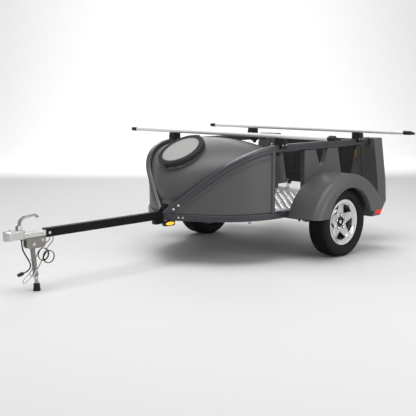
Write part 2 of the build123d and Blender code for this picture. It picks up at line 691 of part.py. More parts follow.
# Tailgate: a panel between the posts, hinged at its lower corners
GATE_Y = AXLE_Y + TAILGATE_Y
GATE_BASE = TAILGATE_HINGE_Z + 14
GATE_TOP_HALF = RAIL_X - 162
GATE_BASE_HALF = RAIL_X - 232
GATE_RIM = 26
LUG_X = RAIL_X - 262
LUG_W = 26
LUG_R = 13
GATE_PIN_R = 6
PULL_X = 165              # pull on the tailgate's top edge
with BuildPart() as tailgate:
    with BuildSketch(cross(GATE_Y + TAILGATE_T / 2)) as gate_outline:
        with BuildLine():
            Polyline((GATE_BASE_HALF, GATE_BASE), (GATE_TOP_HALF, TAILGATE_TOP),
                     (-GATE_TOP_HALF, TAILGATE_TOP), (-GATE_BASE_HALF, GATE_BASE), close=True)
        make_face()
        fillet(gate_outline.vertices(), 16)
    extrude(amount=TAILGATE_T)
    with BuildSketch(cross(GATE_Y + TAILGATE_T / 2)):
        offset(gate_outline.sketch_local, amount=-GATE_RIM, kind=Kind.INTERSECTION)
    extrude(amount=10, mode=Mode.SUBTRACT)
    with Locations((PULL_X, GATE_Y, TAILGATE_TOP + 5)):
        Box(60, TAILGATE_T - 4, 20)
    for x in (-LUG_X, LUG_X):
        with BuildSketch(side(x - LUG_W / 2)):
            with Locations((GATE_Y, TAILGATE_HINGE_Z)):
                Circle(LUG_R)
            with Locations((GATE_Y, (TAILGATE_HINGE_Z + GATE_BASE) / 2 + 5)):
                Rectangle(2 * LUG_R - 4, GATE_BASE - TAILGATE_HINGE_Z + 10)
        extrude(amount=LUG_W)
        with BuildSketch(side(x - LUG_W / 2)):
            with Locations((GATE_Y, TAILGATE_HINGE_Z)):
                Circle(GATE_PIN_R + PIN_GAP)
        extrude(amount=LUG_W, mode=Mode.SUBTRACT)
keep(tailgate, "tailgate")

BRACKET_T = 8
BRACKET_R = 9             # leaves the gate's lower edge room to swing past
with BuildPart() as gate_hinge:
    with BuildSketch(side(LUG_X + LUG_W / 2 + 1)):
        with BuildLine():
            foot = LOWER_RAIL_TOP + RUN_GAP
            Polyline((GATE_Y - 30, foot + 4), (GATE_Y - 30, foot), (GATE_Y + 18, foot), (GATE_Y + 18, foot + 4))
            CenterArc((GATE_Y, TAILGATE_HINGE_Z), BRACKET_R, 0, 360)
        make_hull()
    extrude(amount=BRACKET_T)
    with BuildSketch(side(LUG_X - LUG_W / 2 - 3)):
        with Locations((GATE_Y, TAILGATE_HINGE_Z)):
            Circle(GATE_PIN_R)
    extrude(amount=LUG_W + BRACKET_T + 12)
keep_both(gate_hinge, "gate_hinges")

# Latches of the tailgate on the posts' front faces
LATCH_X = RAIL_X - 110
LATCH_Z = 762
with BuildPart() as gate_latch:
    with Locations((LATCH_X, POST_FRONT_Y - RUN_GAP - 6, LATCH_Z)):
        Box(26, 12, 80)
    fillet(gate_latch.edges().filter_by(Axis.Y), 6)
    with BuildSketch(cross(POST_FRONT_Y - 12)):
        with Locations((LATCH_X, LATCH_Z + 26), (LATCH_X, LATCH_Z - 26)):
            RegularPolygon(7, 6)
    extrude(amount=8)
keep_both(gate_latch, "gate_latches")


# Load bars: aerofoil tubes across the rails on four clamping towers
BARS = [
    # name, distance from the axle along Y
    ("front", -BAR_FRONT),
    ("rear", BAR_REAR),
]
TOWER_LOW = UPPER_RAIL_Z - 2
TOWER_L = 66
TOWER_W = 78
JAW_T = 9
KNOB_R = 15
KNOB_H = 15


def bar_section(x, y, grow):
    """Aerofoil section at x: a nose circle and a tail circle under one skin, flat below."""
    with BuildSketch(side(x)) as section:
        with BuildLine():
            nose = (y - BAR_CHORD / 2 + BAR_NOSE_R, BAR_BOTTOM + BAR_NOSE_R)
            tail = (y + BAR_CHORD / 2 - BAR_TAIL_R, BAR_BOTTOM + BAR_TAIL_R)
            CenterArc(nose, BAR_NOSE_R + grow, 0, 360)
            CenterArc(tail, BAR_TAIL_R + grow, 0, 360)
        make_hull()
    return section.sketch


for name, offset_y in BARS:
    bar_y = AXLE_Y + offset_y
    inner_half = BAR_HALF - CAP_L
    with BuildPart() as load_bar:
        extrude(bar_section(-inner_half, bar_y, 0), amount=2 * inner_half)
        with Locations((0, bar_y - BAR_CHORD / 4, BAR_BOTTOM + 2 * BAR_NOSE_R)):
            Box(2 * inner_half, BAR_SLOT_W, 2 * BAR_SLOT_DEEP, mode=Mode.SUBTRACT)
    keep(load_bar, f"load_bar_{name}")
    with BuildPart() as bar_cap:
        extrude(bar_section(inner_half, bar_y, 1), amount=CAP_L)
        fillet(bar_cap.faces().sort_by(Axis.X)[-1].edges(), 5)
    keep_both(bar_cap, f"bar_caps_{name}")
    with BuildPart() as tower:
        with BuildSketch(cross(bar_y + TOWER_L / 2)):
            with BuildLine():
                inside = RAIL_X - UPPER_RAIL_W / 2 - JAW_T - RUN_GAP
                under = UPPER_RAIL_Z - UPPER_RAIL_H / 2 - JAW_T
                Polyline(
                    (inside, under), (inside, BAR_BOTTOM - 20), (RAIL_X - TOWER_W / 2 + 8, BAR_BOTTOM - RUN_GAP),
                    (RAIL_X + TOWER_W / 2 - 8, BAR_BOTTOM - RUN_GAP), (RAIL_X + TOWER_W / 2, BAR_BOTTOM - 30),
                    (RAIL_X + TOWER_W / 2, TOWER_LOW), (RAIL_X, TOWER_LOW), (RAIL_X, under), close=True,
                )
            make_face()
        extrude(amount=TOWER_L)
        add(rail_envelope.part, mode=Mode.SUBTRACT)
        with BuildSketch(Plane.XY.offset(under)):
            with Locations((RAIL_X - UPPER_RAIL_W / 2 - JAW_T / 2 + 8, bar_y)):
                Circle(KNOB_R)
        extrude(amount=-KNOB_H)
    keep_both(tower, f"towers_{name}")


# Marker lamps beside the tongue at the apex: a housing under each lower rail and its lens
MARKER_X = 68
MARKER_Y = APEX_TIP_Y + 14
MARKER_L = 104
MARKER_H = 38
MARKER_TOP = LOWER_RAIL_BASE - RUN_GAP
with BuildPart() as marker_housing:
    with BuildSketch(side(MARKER_X - 26)):
        with Locations((MARKER_Y, MARKER_TOP - MARKER_H / 2)):
            RectangleRounded(MARKER_L, MARKER_H, 14)
    extrude(amount=30)
keep_both(marker_housing, "marker_housings")

with BuildPart() as marker_lens:
    with BuildSketch(side(MARKER_X + 4 + RUN_GAP)):
        with Locations((MARKER_Y, MARKER_TOP - MARKER_H / 2)):
            Ellipse(MARKER_L / 2 - 8, MARKER_H / 2 - 5)
    extrude(amount=9, taper=30)
keep_both(marker_lens, "marker_lenses")


# Coupler: a cast head over a 50 mm ball, with its handle and the plate under it
BALL_R = 25.7
BALL_Y = AXLE_Y - COUPLER_REACH + 34
HEAD_R = 34
HEAD_LOW = 361
HEAD_HIGH = 421
NECK_LOW = 359
NECK_HIGH = 401
NECK_W = 44
NECK_FRONT_Y = AXLE_Y - 2400
with BuildPart() as coupler:
    with BuildSketch(Plane.XY.offset(HEAD_LOW)):
        with BuildLine():
            CenterArc((0, BALL_Y), HEAD_R, 0, 360)
            CenterArc((0, NECK_FRONT_Y - 12), 24, 0, 360)
        make_hull()
    extrude(amount=HEAD_HIGH - HEAD_LOW)
    fillet(coupler.faces().sort_by(Axis.Z)[-1].edges(), 12)
    with BuildSketch(cross(TONGUE_FRONT_Y - RUN_GAP)):
        with Locations((0, (NECK_LOW + NECK_HIGH) / 2)):
            RectangleRounded(NECK_W, NECK_HIGH - NECK_LOW, 8)
    extrude(amount=TONGUE_FRONT_Y - NECK_FRONT_Y)
    with BuildSketch(Plane.XY.offset(HEAD_LOW)):
        with Locations((0, BALL_Y)):
            Circle(BALL_R)
    extrude(amount=26, mode=Mode.SUBTRACT)
    with Locations((0, BALL_Y, HEAD_LOW + 26)):
        Sphere(BALL_R, mode=Mode.SUBTRACT)
keep(coupler, "coupler")

HANDLE_T = 11
HANDLE_HALF = 12
with BuildPart() as coupler_handle:
    with BuildSketch(side(-HANDLE_HALF)):
        with BuildLine() as handle_path:
            FilletPolyline(
                (AXLE_Y - 2425, HEAD_HIGH + RUN_GAP), (AXLE_Y - 2420, 476), (AXLE_Y - 2385, 499),
                (AXLE_Y - 2300, 508), (AXLE_Y - 2282, 488), radius=(24, 30, 9),
            )
        trace(handle_path.line, line_width=HANDLE_T)
    extrude(amount=2 * HANDLE_HALF)
    split(bisect_by=Plane.XY.offset(HEAD_HIGH + RUN_GAP), keep=Keep.TOP)
keep(coupler_handle, "coupler_handle")


# Stand: a channel under the coupler's neck, and the leaning leg that swings up rearwards
CHANNEL_T = 5
CHANNEL_IN = LEG_R + 1
CHANNEL_OUT = CHANNEL_IN + CHANNEL_T
CHANNEL_FRONT = 2384      # axle to the channel's ends
CHANNEL_REAR = 2238
CHANNEL_LOW = 288
CHANNEL_R = 28            # round lower corners of its ears
CHANNEL_WEB = 12
CHANNEL_TOP = NECK_LOW - RUN_GAP
PIVOT = (AXLE_Y - STAND_Y, STAND_Z)
LEAN = radians(STAND_LEAN)
LEG_DOWN = (0, sin(LEAN), -cos(LEAN))
LEG_END = 218             # pivot to the lower end of the outer leg
TUBE_TOP = 92             # pivot to the inner tube's top at rest
FOOT_DROP = (STAND_Z - FOOT_H) / cos(LEAN)
SLIDE = 40
PIVOT_R = 6
with BuildPart() as stand_channel:
    with BuildSketch(side(-CHANNEL_OUT)) as channel_outline:
        with BuildLine():
            front = AXLE_Y - CHANNEL_FRONT
            rear = AXLE_Y - CHANNEL_REAR
            Polyline((front, CHANNEL_TOP), (front, CHANNEL_LOW), (rear, CHANNEL_LOW), (rear, CHANNEL_TOP), close=True)
        make_face()
        fillet(channel_outline.vertices().group_by(Axis.Y)[0], CHANNEL_R)
    extrude(amount=2 * CHANNEL_OUT)
    with Locations((0, (front + rear) / 2, CHANNEL_TOP - CHANNEL_WEB)):
        Box(2 * CHANNEL_IN, 200, 100, align=(Align.CENTER, Align.CENTER, Align.MAX), mode=Mode.SUBTRACT)
    with BuildSketch(side(-CHANNEL_OUT - 4)):
        with Locations(PIVOT):
            Circle(PIVOT_R)
    extrude(amount=2 * CHANNEL_OUT + 8)
keep(stand_channel, "stand_channel")


def along_leg(distance):
    """Plane square to the leg at a distance down from its pivot."""
    origin = (0, PIVOT[0] + distance * LEG_DOWN[1], PIVOT[1] + distance * LEG_DOWN[2])
    return Plane(origin, (1, 0, 0), LEG_DOWN)


WIRE_R = 2
with BuildPart() as stand_leg:
    with BuildLine() as bail_path:
        bail = [(-2327, 151), (-2409, 84), (-2409, 52), (-2324, 112)]
        FilletPolyline(*[(0, AXLE_Y + y, z) for y, z in bail], radius=10)
    with BuildSketch(Plane(bail_path.line @ 0, z_dir=bail_path.line % 0)):
        Circle(WIRE_R)
    sweep(path=bail_path.line)
    with BuildSketch(along_leg(14)):
        Circle(LEG_R)
    extrude(amount=LEG_END - 14)
    with BuildSketch(side(-LEG_R)):
        with Locations(PIVOT):
            Circle(LEG_R)
    extrude(amount=2 * LEG_R)
    with BuildSketch(side(-LEG_R)):
        with Locations(PIVOT):
            Circle(PIVOT_R + PIN_GAP)
    extrude(amount=2 * LEG_R, mode=Mode.SUBTRACT)
    with BuildSketch(along_leg(TUBE_TOP - SLIDE - 6)):
        Circle(TUBE_R + PIN_GAP)
    extrude(amount=LEG_END, mode=Mode.SUBTRACT)
keep(stand_leg, "stand_leg")

with BuildPart() as stand_tube:
    with BuildSketch(along_leg(TUBE_TOP)):
        Circle(TUBE_R)
    extrude(amount=FOOT_DROP - TUBE_TOP + 14)
    split(bisect_by=Plane.XY.offset(FOOT_H + RUN_GAP), keep=Keep.TOP)
keep(stand_tube, "stand_tube")

FOOT_Y = PIVOT[0] + FOOT_DROP * sin(LEAN)
with BuildPart() as stand_foot:
    with BuildSketch(Plane.XY):
        with Locations((0, FOOT_Y)):
            Circle(FOOT_R)
    extrude(amount=FOOT_H, taper=4)
    fillet(stand_foot.edges().filter_by(GeomType.CIRCLE).sort_by(Axis.Z)[-1], 6)
keep(stand_foot, "stand_foot")

# Cords: straight runs joined by arcs as wide as the runs allow
def cord_radii(points):
    """Radius at each inner point: 0.45 of the shorter run over the tangent of half the turn."""
    radii = []
    for before, here, after in zip(points, points[1:], points[2:]):
        run_in = Vector(*here) - Vector(*before)
        run_out = Vector(*after) - Vector(*here)
        half_turn = radians(run_in.get_angle(run_out) / 2)
        radii.append(0.45 * min(run_in.length, run_out.length) / tan(half_turn))
    return radii


def cord_tube(points, diameter, name):
    """Sweep a cord's tube into the part being built, and report its bends and volume."""
    radii = cord_radii(points)
    with BuildLine() as route:
        FilletPolyline(*points, radius=radii)
    with BuildSketch(Plane(route.line @ 0, z_dir=route.line % 0)) as section:
        Circle(diameter / 2)
    tube = sweep(section.sketch, path=route.line)
    length = sum(edge.length for edge in route.edges())
    share = tube.volume / (section.sketch.area * length)
    print(name, round(length), "mm, radii", [round(radius) for radius in radii], "volume share", round(share, 3))


HARNESS_D = 9
HARNESS_EXIT_Z = 347
HARNESS = [(0, AXLE_Y + y, z) for y, z in [
    (-2409, HARNESS_EXIT_Z), (-2409, 306), (-2394, 264), (-2364, 217), (-2347, 181),
    (-2354, 155), (-2378, 138), (-2406, 132),
]]
with BuildPart() as harness_gland:
    with BuildSketch(Plane.XY.offset(HARNESS_EXIT_Z)):
        with Locations((0, HARNESS[0][1])):
            Circle(HARNESS_D / 2 + 3)
    extrude(amount=HEAD_LOW - HARNESS_EXIT_Z - RUN_GAP)
keep(harness_gland, "harness_gland")

with BuildPart() as harness_cord:
    cord_tube(HARNESS, HARNESS_D, "harness")
keep(harness_cord, "harness_cord")

PLUG_R = 11
PLUG_L = 42
with BuildPart() as harness_plug:
    plug_dir = Vector(*HARNESS[-1]) - Vector(*HARNESS[-2])
    with BuildSketch(Plane(HARNESS[-1], z_dir=plug_dir)):
        Circle(PLUG_R)
    extrude(amount=PLUG_L)
    fillet(harness_plug.edges().filter_by(GeomType.CIRCLE), 3)
keep(harness_plug, "harness_plug")

# Safety cables: one each side, from an anchor under the tongue through a loose coil to a hook
CABLE_D = 5
ANCHOR_X = 20
ANCHOR_Y = AXLE_Y - 2180
ANCHOR_Z = 338
COIL_X = 46
COIL_R = 40
COIL_T = 14
with BuildPart() as cable_anchor:
    with BuildSketch(Plane.XY.offset(ANCHOR_Z)):
        with Locations((ANCHOR_X, ANCHOR_Y)):
            Circle(5)
    extrude(amount=TONGUE_Z - TONGUE_H / 2 - RUN_GAP - ANCHOR_Z)
keep_both(cable_anchor, "cable_anchors")

CABLES = [
    # name, side, how far the coil hangs behind the left one's place
    ("left", 1, 0),
    ("right", -1, 22),
]
with BuildPart() as cable_hooks:
    for name, hand, back in CABLES:
        coil_y = AXLE_Y - 2237 + back
        with BuildPart(mode=Mode.PRIVATE) as cable:
            upper = [(ANCHOR_X, 57, ANCHOR_Z), (ANCHOR_X, 57, 320), (28, 49, 300), (39, 35, 281), (COIL_X, 20, 262)]
            shares = (1, 1, 0.7, 0.3, 0)
            route = [(hand * x, coil_y + y - back * share, z) for (x, y, z), share in zip(upper, shares)]
            cord_tube(route, CABLE_D, f"cable {name} upper")
            lower = [(COIL_X, -38, 213), (45, -53, 199), (43, -68, 180), (41, -82, 160), (40, -96, 142)]
            route = [(hand * x, coil_y + y, z) for x, y, z in lower]
            cord_tube(route, CABLE_D, f"cable {name} lower")
        keep(cable, f"safety_cable_{name}")
        with BuildPart(mode=Mode.PRIVATE) as coil:
            with Locations(Location((hand * COIL_X, coil_y, 225), (0, 90, 0))):
                Torus(COIL_R, COIL_T / 2)
            add(cable.part, mode=Mode.SUBTRACT)
        keep(coil, f"cable_coil_{name}")
        x, y, z = route[-1]
        with BuildLine() as hook_path:
            FilletPolyline((x, y, z), (x, y - 12, z - 16), (x, y - 23, z - 38), (x, y - 11, z - 52),
                           (x, y + 3, z - 40), radius=8)
        with BuildSketch(Plane(hook_path.line @ 0, z_dir=hook_path.line % 0)):
            Circle(3.5)
        sweep(path=hook_path.line)
keep(cable_hooks, "cable_hooks")
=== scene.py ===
import bmesh
import bpy
from math import cos, pi, radians, sin, tan
from mathutils import Matrix, Vector


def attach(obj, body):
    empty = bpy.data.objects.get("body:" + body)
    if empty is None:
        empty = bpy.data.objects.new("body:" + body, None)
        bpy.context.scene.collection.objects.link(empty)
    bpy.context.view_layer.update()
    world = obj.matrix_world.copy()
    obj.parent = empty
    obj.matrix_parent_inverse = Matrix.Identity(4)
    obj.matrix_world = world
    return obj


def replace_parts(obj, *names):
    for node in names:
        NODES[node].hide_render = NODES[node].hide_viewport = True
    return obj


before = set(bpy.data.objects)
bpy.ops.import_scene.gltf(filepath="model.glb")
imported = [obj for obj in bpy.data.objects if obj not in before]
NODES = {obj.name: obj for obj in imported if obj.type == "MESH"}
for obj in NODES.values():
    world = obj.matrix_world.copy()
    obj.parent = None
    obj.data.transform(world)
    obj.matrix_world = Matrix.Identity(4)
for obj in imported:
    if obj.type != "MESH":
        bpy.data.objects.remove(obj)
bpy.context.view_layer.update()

# Sizes shared with the part, in metres
AXLE_Y = 0.890
TRACK = 0.735                           # middle of a tyre from the centre plane
TYRE_R = 0.272
SIDE_X = 0.580                          # middle lines of the side rails and towers
NOSE_Y = 0.006                          # where the nose line starts at SIDE_X
RAIL_FOOT = 0.37264                     # height of the upper rails' line carried on to the centre plane
SLANT = radians(27.7)                   # nose line, from square to the trailer
TILT = radians(40.5)                    # plane of an upper rail
BEND_MIDDLE = (-0.020, 0.3686)          # middle of a nose panel's bend, in x and y
BEND_R = 0.600
DECK_TOP = 0.3899
BARS = (("front", 0.378), ("rear", 1.368))
BAR_TOP = 0.9702
LATCH_X = 0.470
GATE_Y = 1.590
GATE_FACE = GATE_Y - 0.0105
HATCH_TILT = radians(32.2)
HATCH_AT = Vector((0, AXLE_Y - 0.995, 0.862))
STAND_PIVOT = Vector((0, -1.443, 0.317))
LEAN = radians(5.7)                     # the stand, from upright
FOOT_TOP = 0.052
SIDES = (("left", 1), ("right", -1))

# The photograph's view
VIEW_TURN = radians(44.89)
VIEW_RISE = radians(8.388)
VIEW_ROLL = radians(-0.238)
FOCAL = 826.56 / 416                    # focal length over the picture's width
SENSOR = 36


# Materials: one node recipe with a few settings
def finish_of(name, colour, rough, metal=0.0, vary=0.12, spots=40.0, grain=600.0, bump=0.08, coat=0.0,
              stretch=(1, 1, 1), spread=0.08, spec=0.5):
    """A principled material whose colour, roughness and bump vary with two noises."""
    mat = bpy.data.materials.new(name)
    mat.use_nodes = True
    nodes = mat.node_tree.nodes
    link = mat.node_tree.links.new
    shader = nodes["Principled BSDF"]
    shader.inputs["Metallic"].default_value = metal
    shader.inputs["Specular IOR Level"].default_value = spec
    shader.inputs["Coat Weight"].default_value = coat
    shader.inputs["Coat Roughness"].default_value = 0.08
    place = nodes.new("ShaderNodeTexCoord")
    scale = nodes.new("ShaderNodeMapping")
    scale.inputs["Scale"].default_value = stretch
    link(place.outputs["Object"], scale.inputs["Vector"])
    broad = nodes.new("ShaderNodeTexNoise")
    broad.inputs["Scale"].default_value = spots
    broad.inputs["Detail"].default_value = 5
    link(scale.outputs["Vector"], broad.inputs["Vector"])
    fine = nodes.new("ShaderNodeTexNoise")
    fine.inputs["Scale"].default_value = grain
    fine.inputs["Detail"].default_value = 3
    link(scale.outputs["Vector"], fine.inputs["Vector"])
    tint = nodes.new("ShaderNodeValToRGB")
    low = [c * (1 - vary) for c in colour]
    high = [min(1, c * (1 + vary)) for c in colour]
    tint.color_ramp.elements[0].position = 0.3
    tint.color_ramp.elements[0].color = (*low, 1)
    tint.color_ramp.elements[1].position = 0.7
    tint.color_ramp.elements[1].color = (*high, 1)
    link(broad.outputs["Fac"], tint.inputs["Fac"])
    link(tint.outputs["Color"], shader.inputs["Base Color"])
    gloss = nodes.new("ShaderNodeMapRange")
    gloss.inputs["To Min"].default_value = max(0.02, rough - spread)
    gloss.inputs["To Max"].default_value = min(1, rough + spread)
    link(broad.outputs["Fac"], gloss.inputs["Value"])
    link(gloss.outputs["Result"], shader.inputs["Roughness"])
    relief = nodes.new("ShaderNodeBump")
    relief.inputs["Strength"].default_value = bump
    relief.inputs["Distance"].default_value = 0.001
    link(fine.outputs["Fac"], relief.inputs["Height"])
    link(relief.outputs["Normal"], shader.inputs["Normal"])
    return mat


MOULDED = finish_of("moulded_grey", (0.084, 0.083, 0.082), 0.44, vary=0.05, spots=3, grain=900, bump=0.10,
                    spread=0.05)
RAIL = finish_of("rail_paint", (0.062, 0.063, 0.072), 0.34, metal=0.6, vary=0.06, grain=1200, bump=0.05,
                 coat=0.25)
BLACK_PAINT = finish_of("black_paint", (0.005, 0.005, 0.0055), 0.42, vary=0.2, grain=900, bump=0.06,
                        spec=0.12)
LOWER = finish_of("lower_rail_paint", (0.040, 0.042, 0.050), 0.36, metal=0.4, vary=0.08, grain=1200,
                  bump=0.05, coat=0.2)
BLACK = finish_of("black_plastic", (0.009, 0.009, 0.009), 0.46, vary=0.2, grain=1400, bump=0.2, spec=0.3)
GATE = finish_of("gate_black", (0.010, 0.010, 0.011), 0.55, vary=0.2, grain=1200, bump=0.25)
RUBBER = finish_of("seal_rubber", (0.012, 0.012, 0.012), 0.62, vary=0.2, grain=1400, bump=0.15)
DISC = finish_of("hatch_disc", (0.385, 0.385, 0.380), 0.55, vary=0.04, spots=6, grain=1500, bump=0.25)
TREAD = finish_of("tyre_rubber", (0.006, 0.006, 0.006), 0.62, vary=0.25, spots=25, grain=900, bump=0.35,
                  spec=0.2)
ALLOY = finish_of("polished_alloy", (0.58, 0.58, 0.59), 0.22, metal=1.0, vary=0.05, spots=30, grain=500,
                  bump=0.03)
LIP = finish_of("turned_lip", (0.78, 0.78, 0.79), 0.14, metal=1.0, vary=0.03, spots=18, grain=300, bump=0.02)
# Painted shade: the barrel, silver alloy like the rim, is made dark grey for the shade inside the wheel seen
# through the windows
BARREL_SHADE = finish_of("barrel_painted_shade", (0.10, 0.10, 0.105), 0.40, metal=0.8, vary=0.15, grain=500,
                         bump=0.05)
CHROME = finish_of("chrome", (0.78, 0.78, 0.79), 0.08, metal=1.0, vary=0.02, bump=0.01, spread=0.02)
ZINC = finish_of("zinc_plate", (0.60, 0.60, 0.58), 0.34, metal=0.95, vary=0.14, spots=90, grain=800,
                 bump=0.08)
CAST = finish_of("cast_aluminium", (0.56, 0.56, 0.55), 0.32, metal=0.85, vary=0.08, spots=60, grain=420,
                 bump=0.22)
BAR = finish_of("anodised_bar", (0.84, 0.84, 0.84), 0.42, metal=0.45, vary=0.03, grain=500, bump=0.05,
                stretch=(0.04, 1, 1))
WARM = finish_of("jack_paint", (0.235, 0.222, 0.205), 0.42, metal=0.2, vary=0.10, spots=50, grain=700,
                 bump=0.12)
WARM_LIGHT = finish_of("jack_tube", (0.42, 0.40, 0.37), 0.36, metal=0.5, vary=0.10, spots=50, grain=700,
                       bump=0.08)
PLATE = finish_of("tread_plate", (0.36, 0.36, 0.37), 0.36, metal=0.9, vary=0.10, spots=26, grain=500,
                  bump=0.08)
BRASS = finish_of("latch_brass", (0.42, 0.31, 0.16), 0.34, metal=0.9, vary=0.2, spots=120, grain=700,
                  bump=0.1)
# Painted shade: near-black for the shade inside the nose, used on its bulkhead and floor
INSIDE_SHADE = finish_of("inside_painted_shade", (0.020, 0.020, 0.021), 0.70, vary=0.2, grain=500, bump=0.3)
BEAM = finish_of("beam_paint", (0.015, 0.015, 0.016), 0.45, vary=0.2, grain=700, bump=0.12)
RED = finish_of("red_lens", (0.80, 0.004, 0.003), 0.22, vary=0.08, spots=200, grain=900, bump=0.02, spec=0.2)
AMBER = finish_of("amber_lens", (0.95, 0.50, 0.02), 0.22, vary=0.08, spots=200, grain=900, bump=0.02,
                  spec=0.2)
# Painted light: the lenses of the unlit lamps glow red and amber, standing in for light caught in them
for lens, painted_glow, strength in ((RED, (1, 0.005, 0.002, 1), 0.30), (AMBER, (1.0, 0.55, 0.06, 1), 0.75)):
    lens_shader = lens.node_tree.nodes["Principled BSDF"]
    lens_shader.inputs["Emission Color"].default_value = painted_glow
    lens_shader.inputs["Emission Strength"].default_value = strength
HANDLE_CAST = finish_of("handle_cast", (0.30, 0.30, 0.30), 0.36, metal=0.7, vary=0.1, spots=60, grain=500,
                        bump=0.15)
CORD = finish_of("cord_rubber", (0.006, 0.006, 0.006), 0.5, vary=0.2, grain=1500, bump=0.2, spec=0.2)


def paint(mat, *names):
    """Give carried-over nodes a material."""
    for name in names:
        mesh = NODES[name].data
        mesh.materials.clear()
        mesh.materials.append(mat)


paint(MOULDED, "nose_cover", "nose_side_left", "nose_side_right", "fender_left", "fender_right",
      "tail_post_left", "tail_post_right")
# The nose's inside faces take the near-black painted shade
paint(INSIDE_SHADE, "nose_bulkhead", "nose_floor")
paint(RAIL, "upper_rail_left", "upper_rail_right")
paint(LOWER, "lower_rail_left", "lower_rail_right")
paint(BLACK_PAINT, "tongue", "apex_bracket")
paint(BEAM, "crossmembers", "axle_beam", "torsion_arm_left", "torsion_arm_right")
paint(BLACK, "rail_caps", "hatch_collar", "hatch_rim", "marker_housings", "bar_caps_front", "bar_caps_rear",
      "towers_front", "towers_rear", "harness_gland", "harness_plug", "stand_foot")
paint(GATE, "tailgate")
paint(DISC, "hatch_panel")
paint(PLATE, "deck")
paint(BAR, "load_bar_front", "load_bar_rear")
paint(CAST, "coupler")
paint(HANDLE_CAST, "coupler_handle")
paint(WARM, "stand_channel", "stand_leg")
paint(WARM_LIGHT, "stand_tube")
paint(ZINC, "gate_hinges", "cable_anchors", "cable_hooks")
paint(BRASS, "gate_latches")
paint(TREAD, "tyre_left", "tyre_right")
paint(ALLOY, "rim_left", "rim_right")
paint(CHROME, "hub_left", "hub_right")
paint(RED, "tail_lamp_left", "tail_lamp_right")
paint(AMBER, "marker_lenses")
paint(CORD, "harness_cord", "safety_cable_left", "safety_cable_right", "cable_coil_left", "cable_coil_right")


# Camera, fitted to the photograph's view
def place_camera():
    """A camera at the photograph's distance, angle and focal length."""
    back = Vector((sin(VIEW_TURN) * cos(VIEW_RISE), -cos(VIEW_TURN) * cos(VIEW_RISE), sin(VIEW_RISE)))
    data = bpy.data.cameras.new("camera")
    data.sensor_width = SENSOR
    data.lens = FOCAL * SENSOR
    camera = bpy.data.objects.new("camera", data)
    bpy.context.scene.collection.objects.link(camera)
    camera.rotation_mode = "QUATERNION"
    turn = (-back).to_track_quat("-Z", "Y")
    camera.rotation_quaternion = turn @ Matrix.Rotation(VIEW_ROLL, 3, "Z").to_quaternion()
    camera.location = (4.559, -5.279 + AXLE_Y, 1.331)
    bpy.context.scene.camera = camera


place_camera()


# Making pieces
def made(name, verts, faces, mat, body, slot, angle=32):
    """A mesh piece that rides on a body, smooth except across sharp edges."""
    mesh = bpy.data.meshes.new(name)
    mesh.from_pydata([tuple(v) for v in verts], [], faces)
    mesh.validate()
    return settle(name, mesh, mat, body, angle)


def settle(name, mesh, mat, body, angle=32):
    """Turn a mesh into a piece: normals outwards, shading, material and body."""
    form = bmesh.new()
    form.from_mesh(mesh)
    bmesh.ops.remove_doubles(form, verts=form.verts, dist=1e-6)
    bmesh.ops.recalc_face_normals(form, faces=form.faces)
    form.to_mesh(mesh)
    form.free()
    mesh.materials.append(mat)
    mesh.shade_smooth()
    mesh.set_sharp_from_angle(angle=radians(angle))
    piece = bpy.data.objects.new(name, mesh)
    bpy.context.scene.collection.objects.link(piece)
    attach(piece, body)
    return piece


def rings(loops, loop_closed=False):
    """Vertices and faces of a skin through equal rings of points, closed by flat ends or on itself."""
    count = len(loops[0])
    verts = [p for loop in loops for p in loop]
    faces = []
    last = len(loops) if loop_closed else len(loops) - 1
    for i in range(last):
        a, b = i * count, (i + 1) % len(loops) * count
        for j in range(count):
            k = (j + 1) % count
            faces.append((a + j, a + k, b + k, b + j))
    if not loop_closed:
        faces.append(tuple(range(count))[::-1])
        faces.append(tuple(range((len(loops) - 1) * count, len(loops) * count)))
    return verts, faces


def axes_of(axis):
    """Two directions square to an axis."""
    axis = Vector(axis).normalized()
    side = axis.orthogonal().normalized()
    return axis, side, axis.cross(side)


def turned(name, profile, at, axis, mat, body, slot, steps=48, angle=32, closed=False):
    """Revolve a profile of (along, radius) about an axis through a point; a closed one makes a ring."""
    axis, side, up = axes_of(axis)
    at = Vector(at)
    loops = []
    for along, radius in profile:
        loops.append([at + axis * along + (side * cos(t) + up * sin(t)) * max(radius, 1e-5)
                      for t in [2 * pi * i / steps for i in range(steps)]])
    return made(name, *rings(loops, loop_closed=closed), mat, body, slot, angle)


def rod(name, points, radius, mat, body, cyclic=False, sides=4):
    """A round rod or wire along a smooth curve through its control points."""
    curve = bpy.data.curves.new(name, "CURVE")
    curve.dimensions = "3D"
    curve.bevel_depth = radius
    curve.bevel_resolution = sides
    curve.use_fill_caps = True
    curve.resolution_u = 12
    line = curve.splines.new("NURBS")
    line.points.add(len(points) - 1)
    for spot, point in zip(line.points, points):
        spot.co = (*point, 1)
    line.order_u = 3
    line.use_endpoint_u = not cyclic
    line.use_cyclic_u = cyclic
    piece = bpy.data.objects.new(name, curve)
    bpy.context.scene.collection.objects.link(piece)
    curve.materials.append(mat)
    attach(piece, body)
    return piece


def slab(name, outline, at, across, up, depth, mat, body, bevel=0.0015):
    """Extrude an outline, given in (across, up), by a depth towards across x up, with rounded edges."""
    across, up = Vector(across).normalized(), Vector(up).normalized()
    out = across.cross(up)
    form = bmesh.new()
    low = [form.verts.new(Vector(at) + across * a + up * b) for a, b in outline]
    face = form.faces.new(low)
    top = bmesh.ops.extrude_face_region(form, geom=[face])
    raised = [v for v in top["geom"] if isinstance(v, bmesh.types.BMVert)]
    bmesh.ops.translate(form, vec=out * depth, verts=raised)
    if bevel:
        sharp = [e for e in form.edges if e.calc_face_angle(0) > radians(25)]
        bmesh.ops.bevel(form, geom=sharp, offset=bevel, segments=2, profile=0.6, affect="EDGES",
                        clamp_overlap=True)
    mesh = bpy.data.meshes.new(name)
    form.to_mesh(mesh)
    form.free()
    return settle(name, mesh, mat, body)


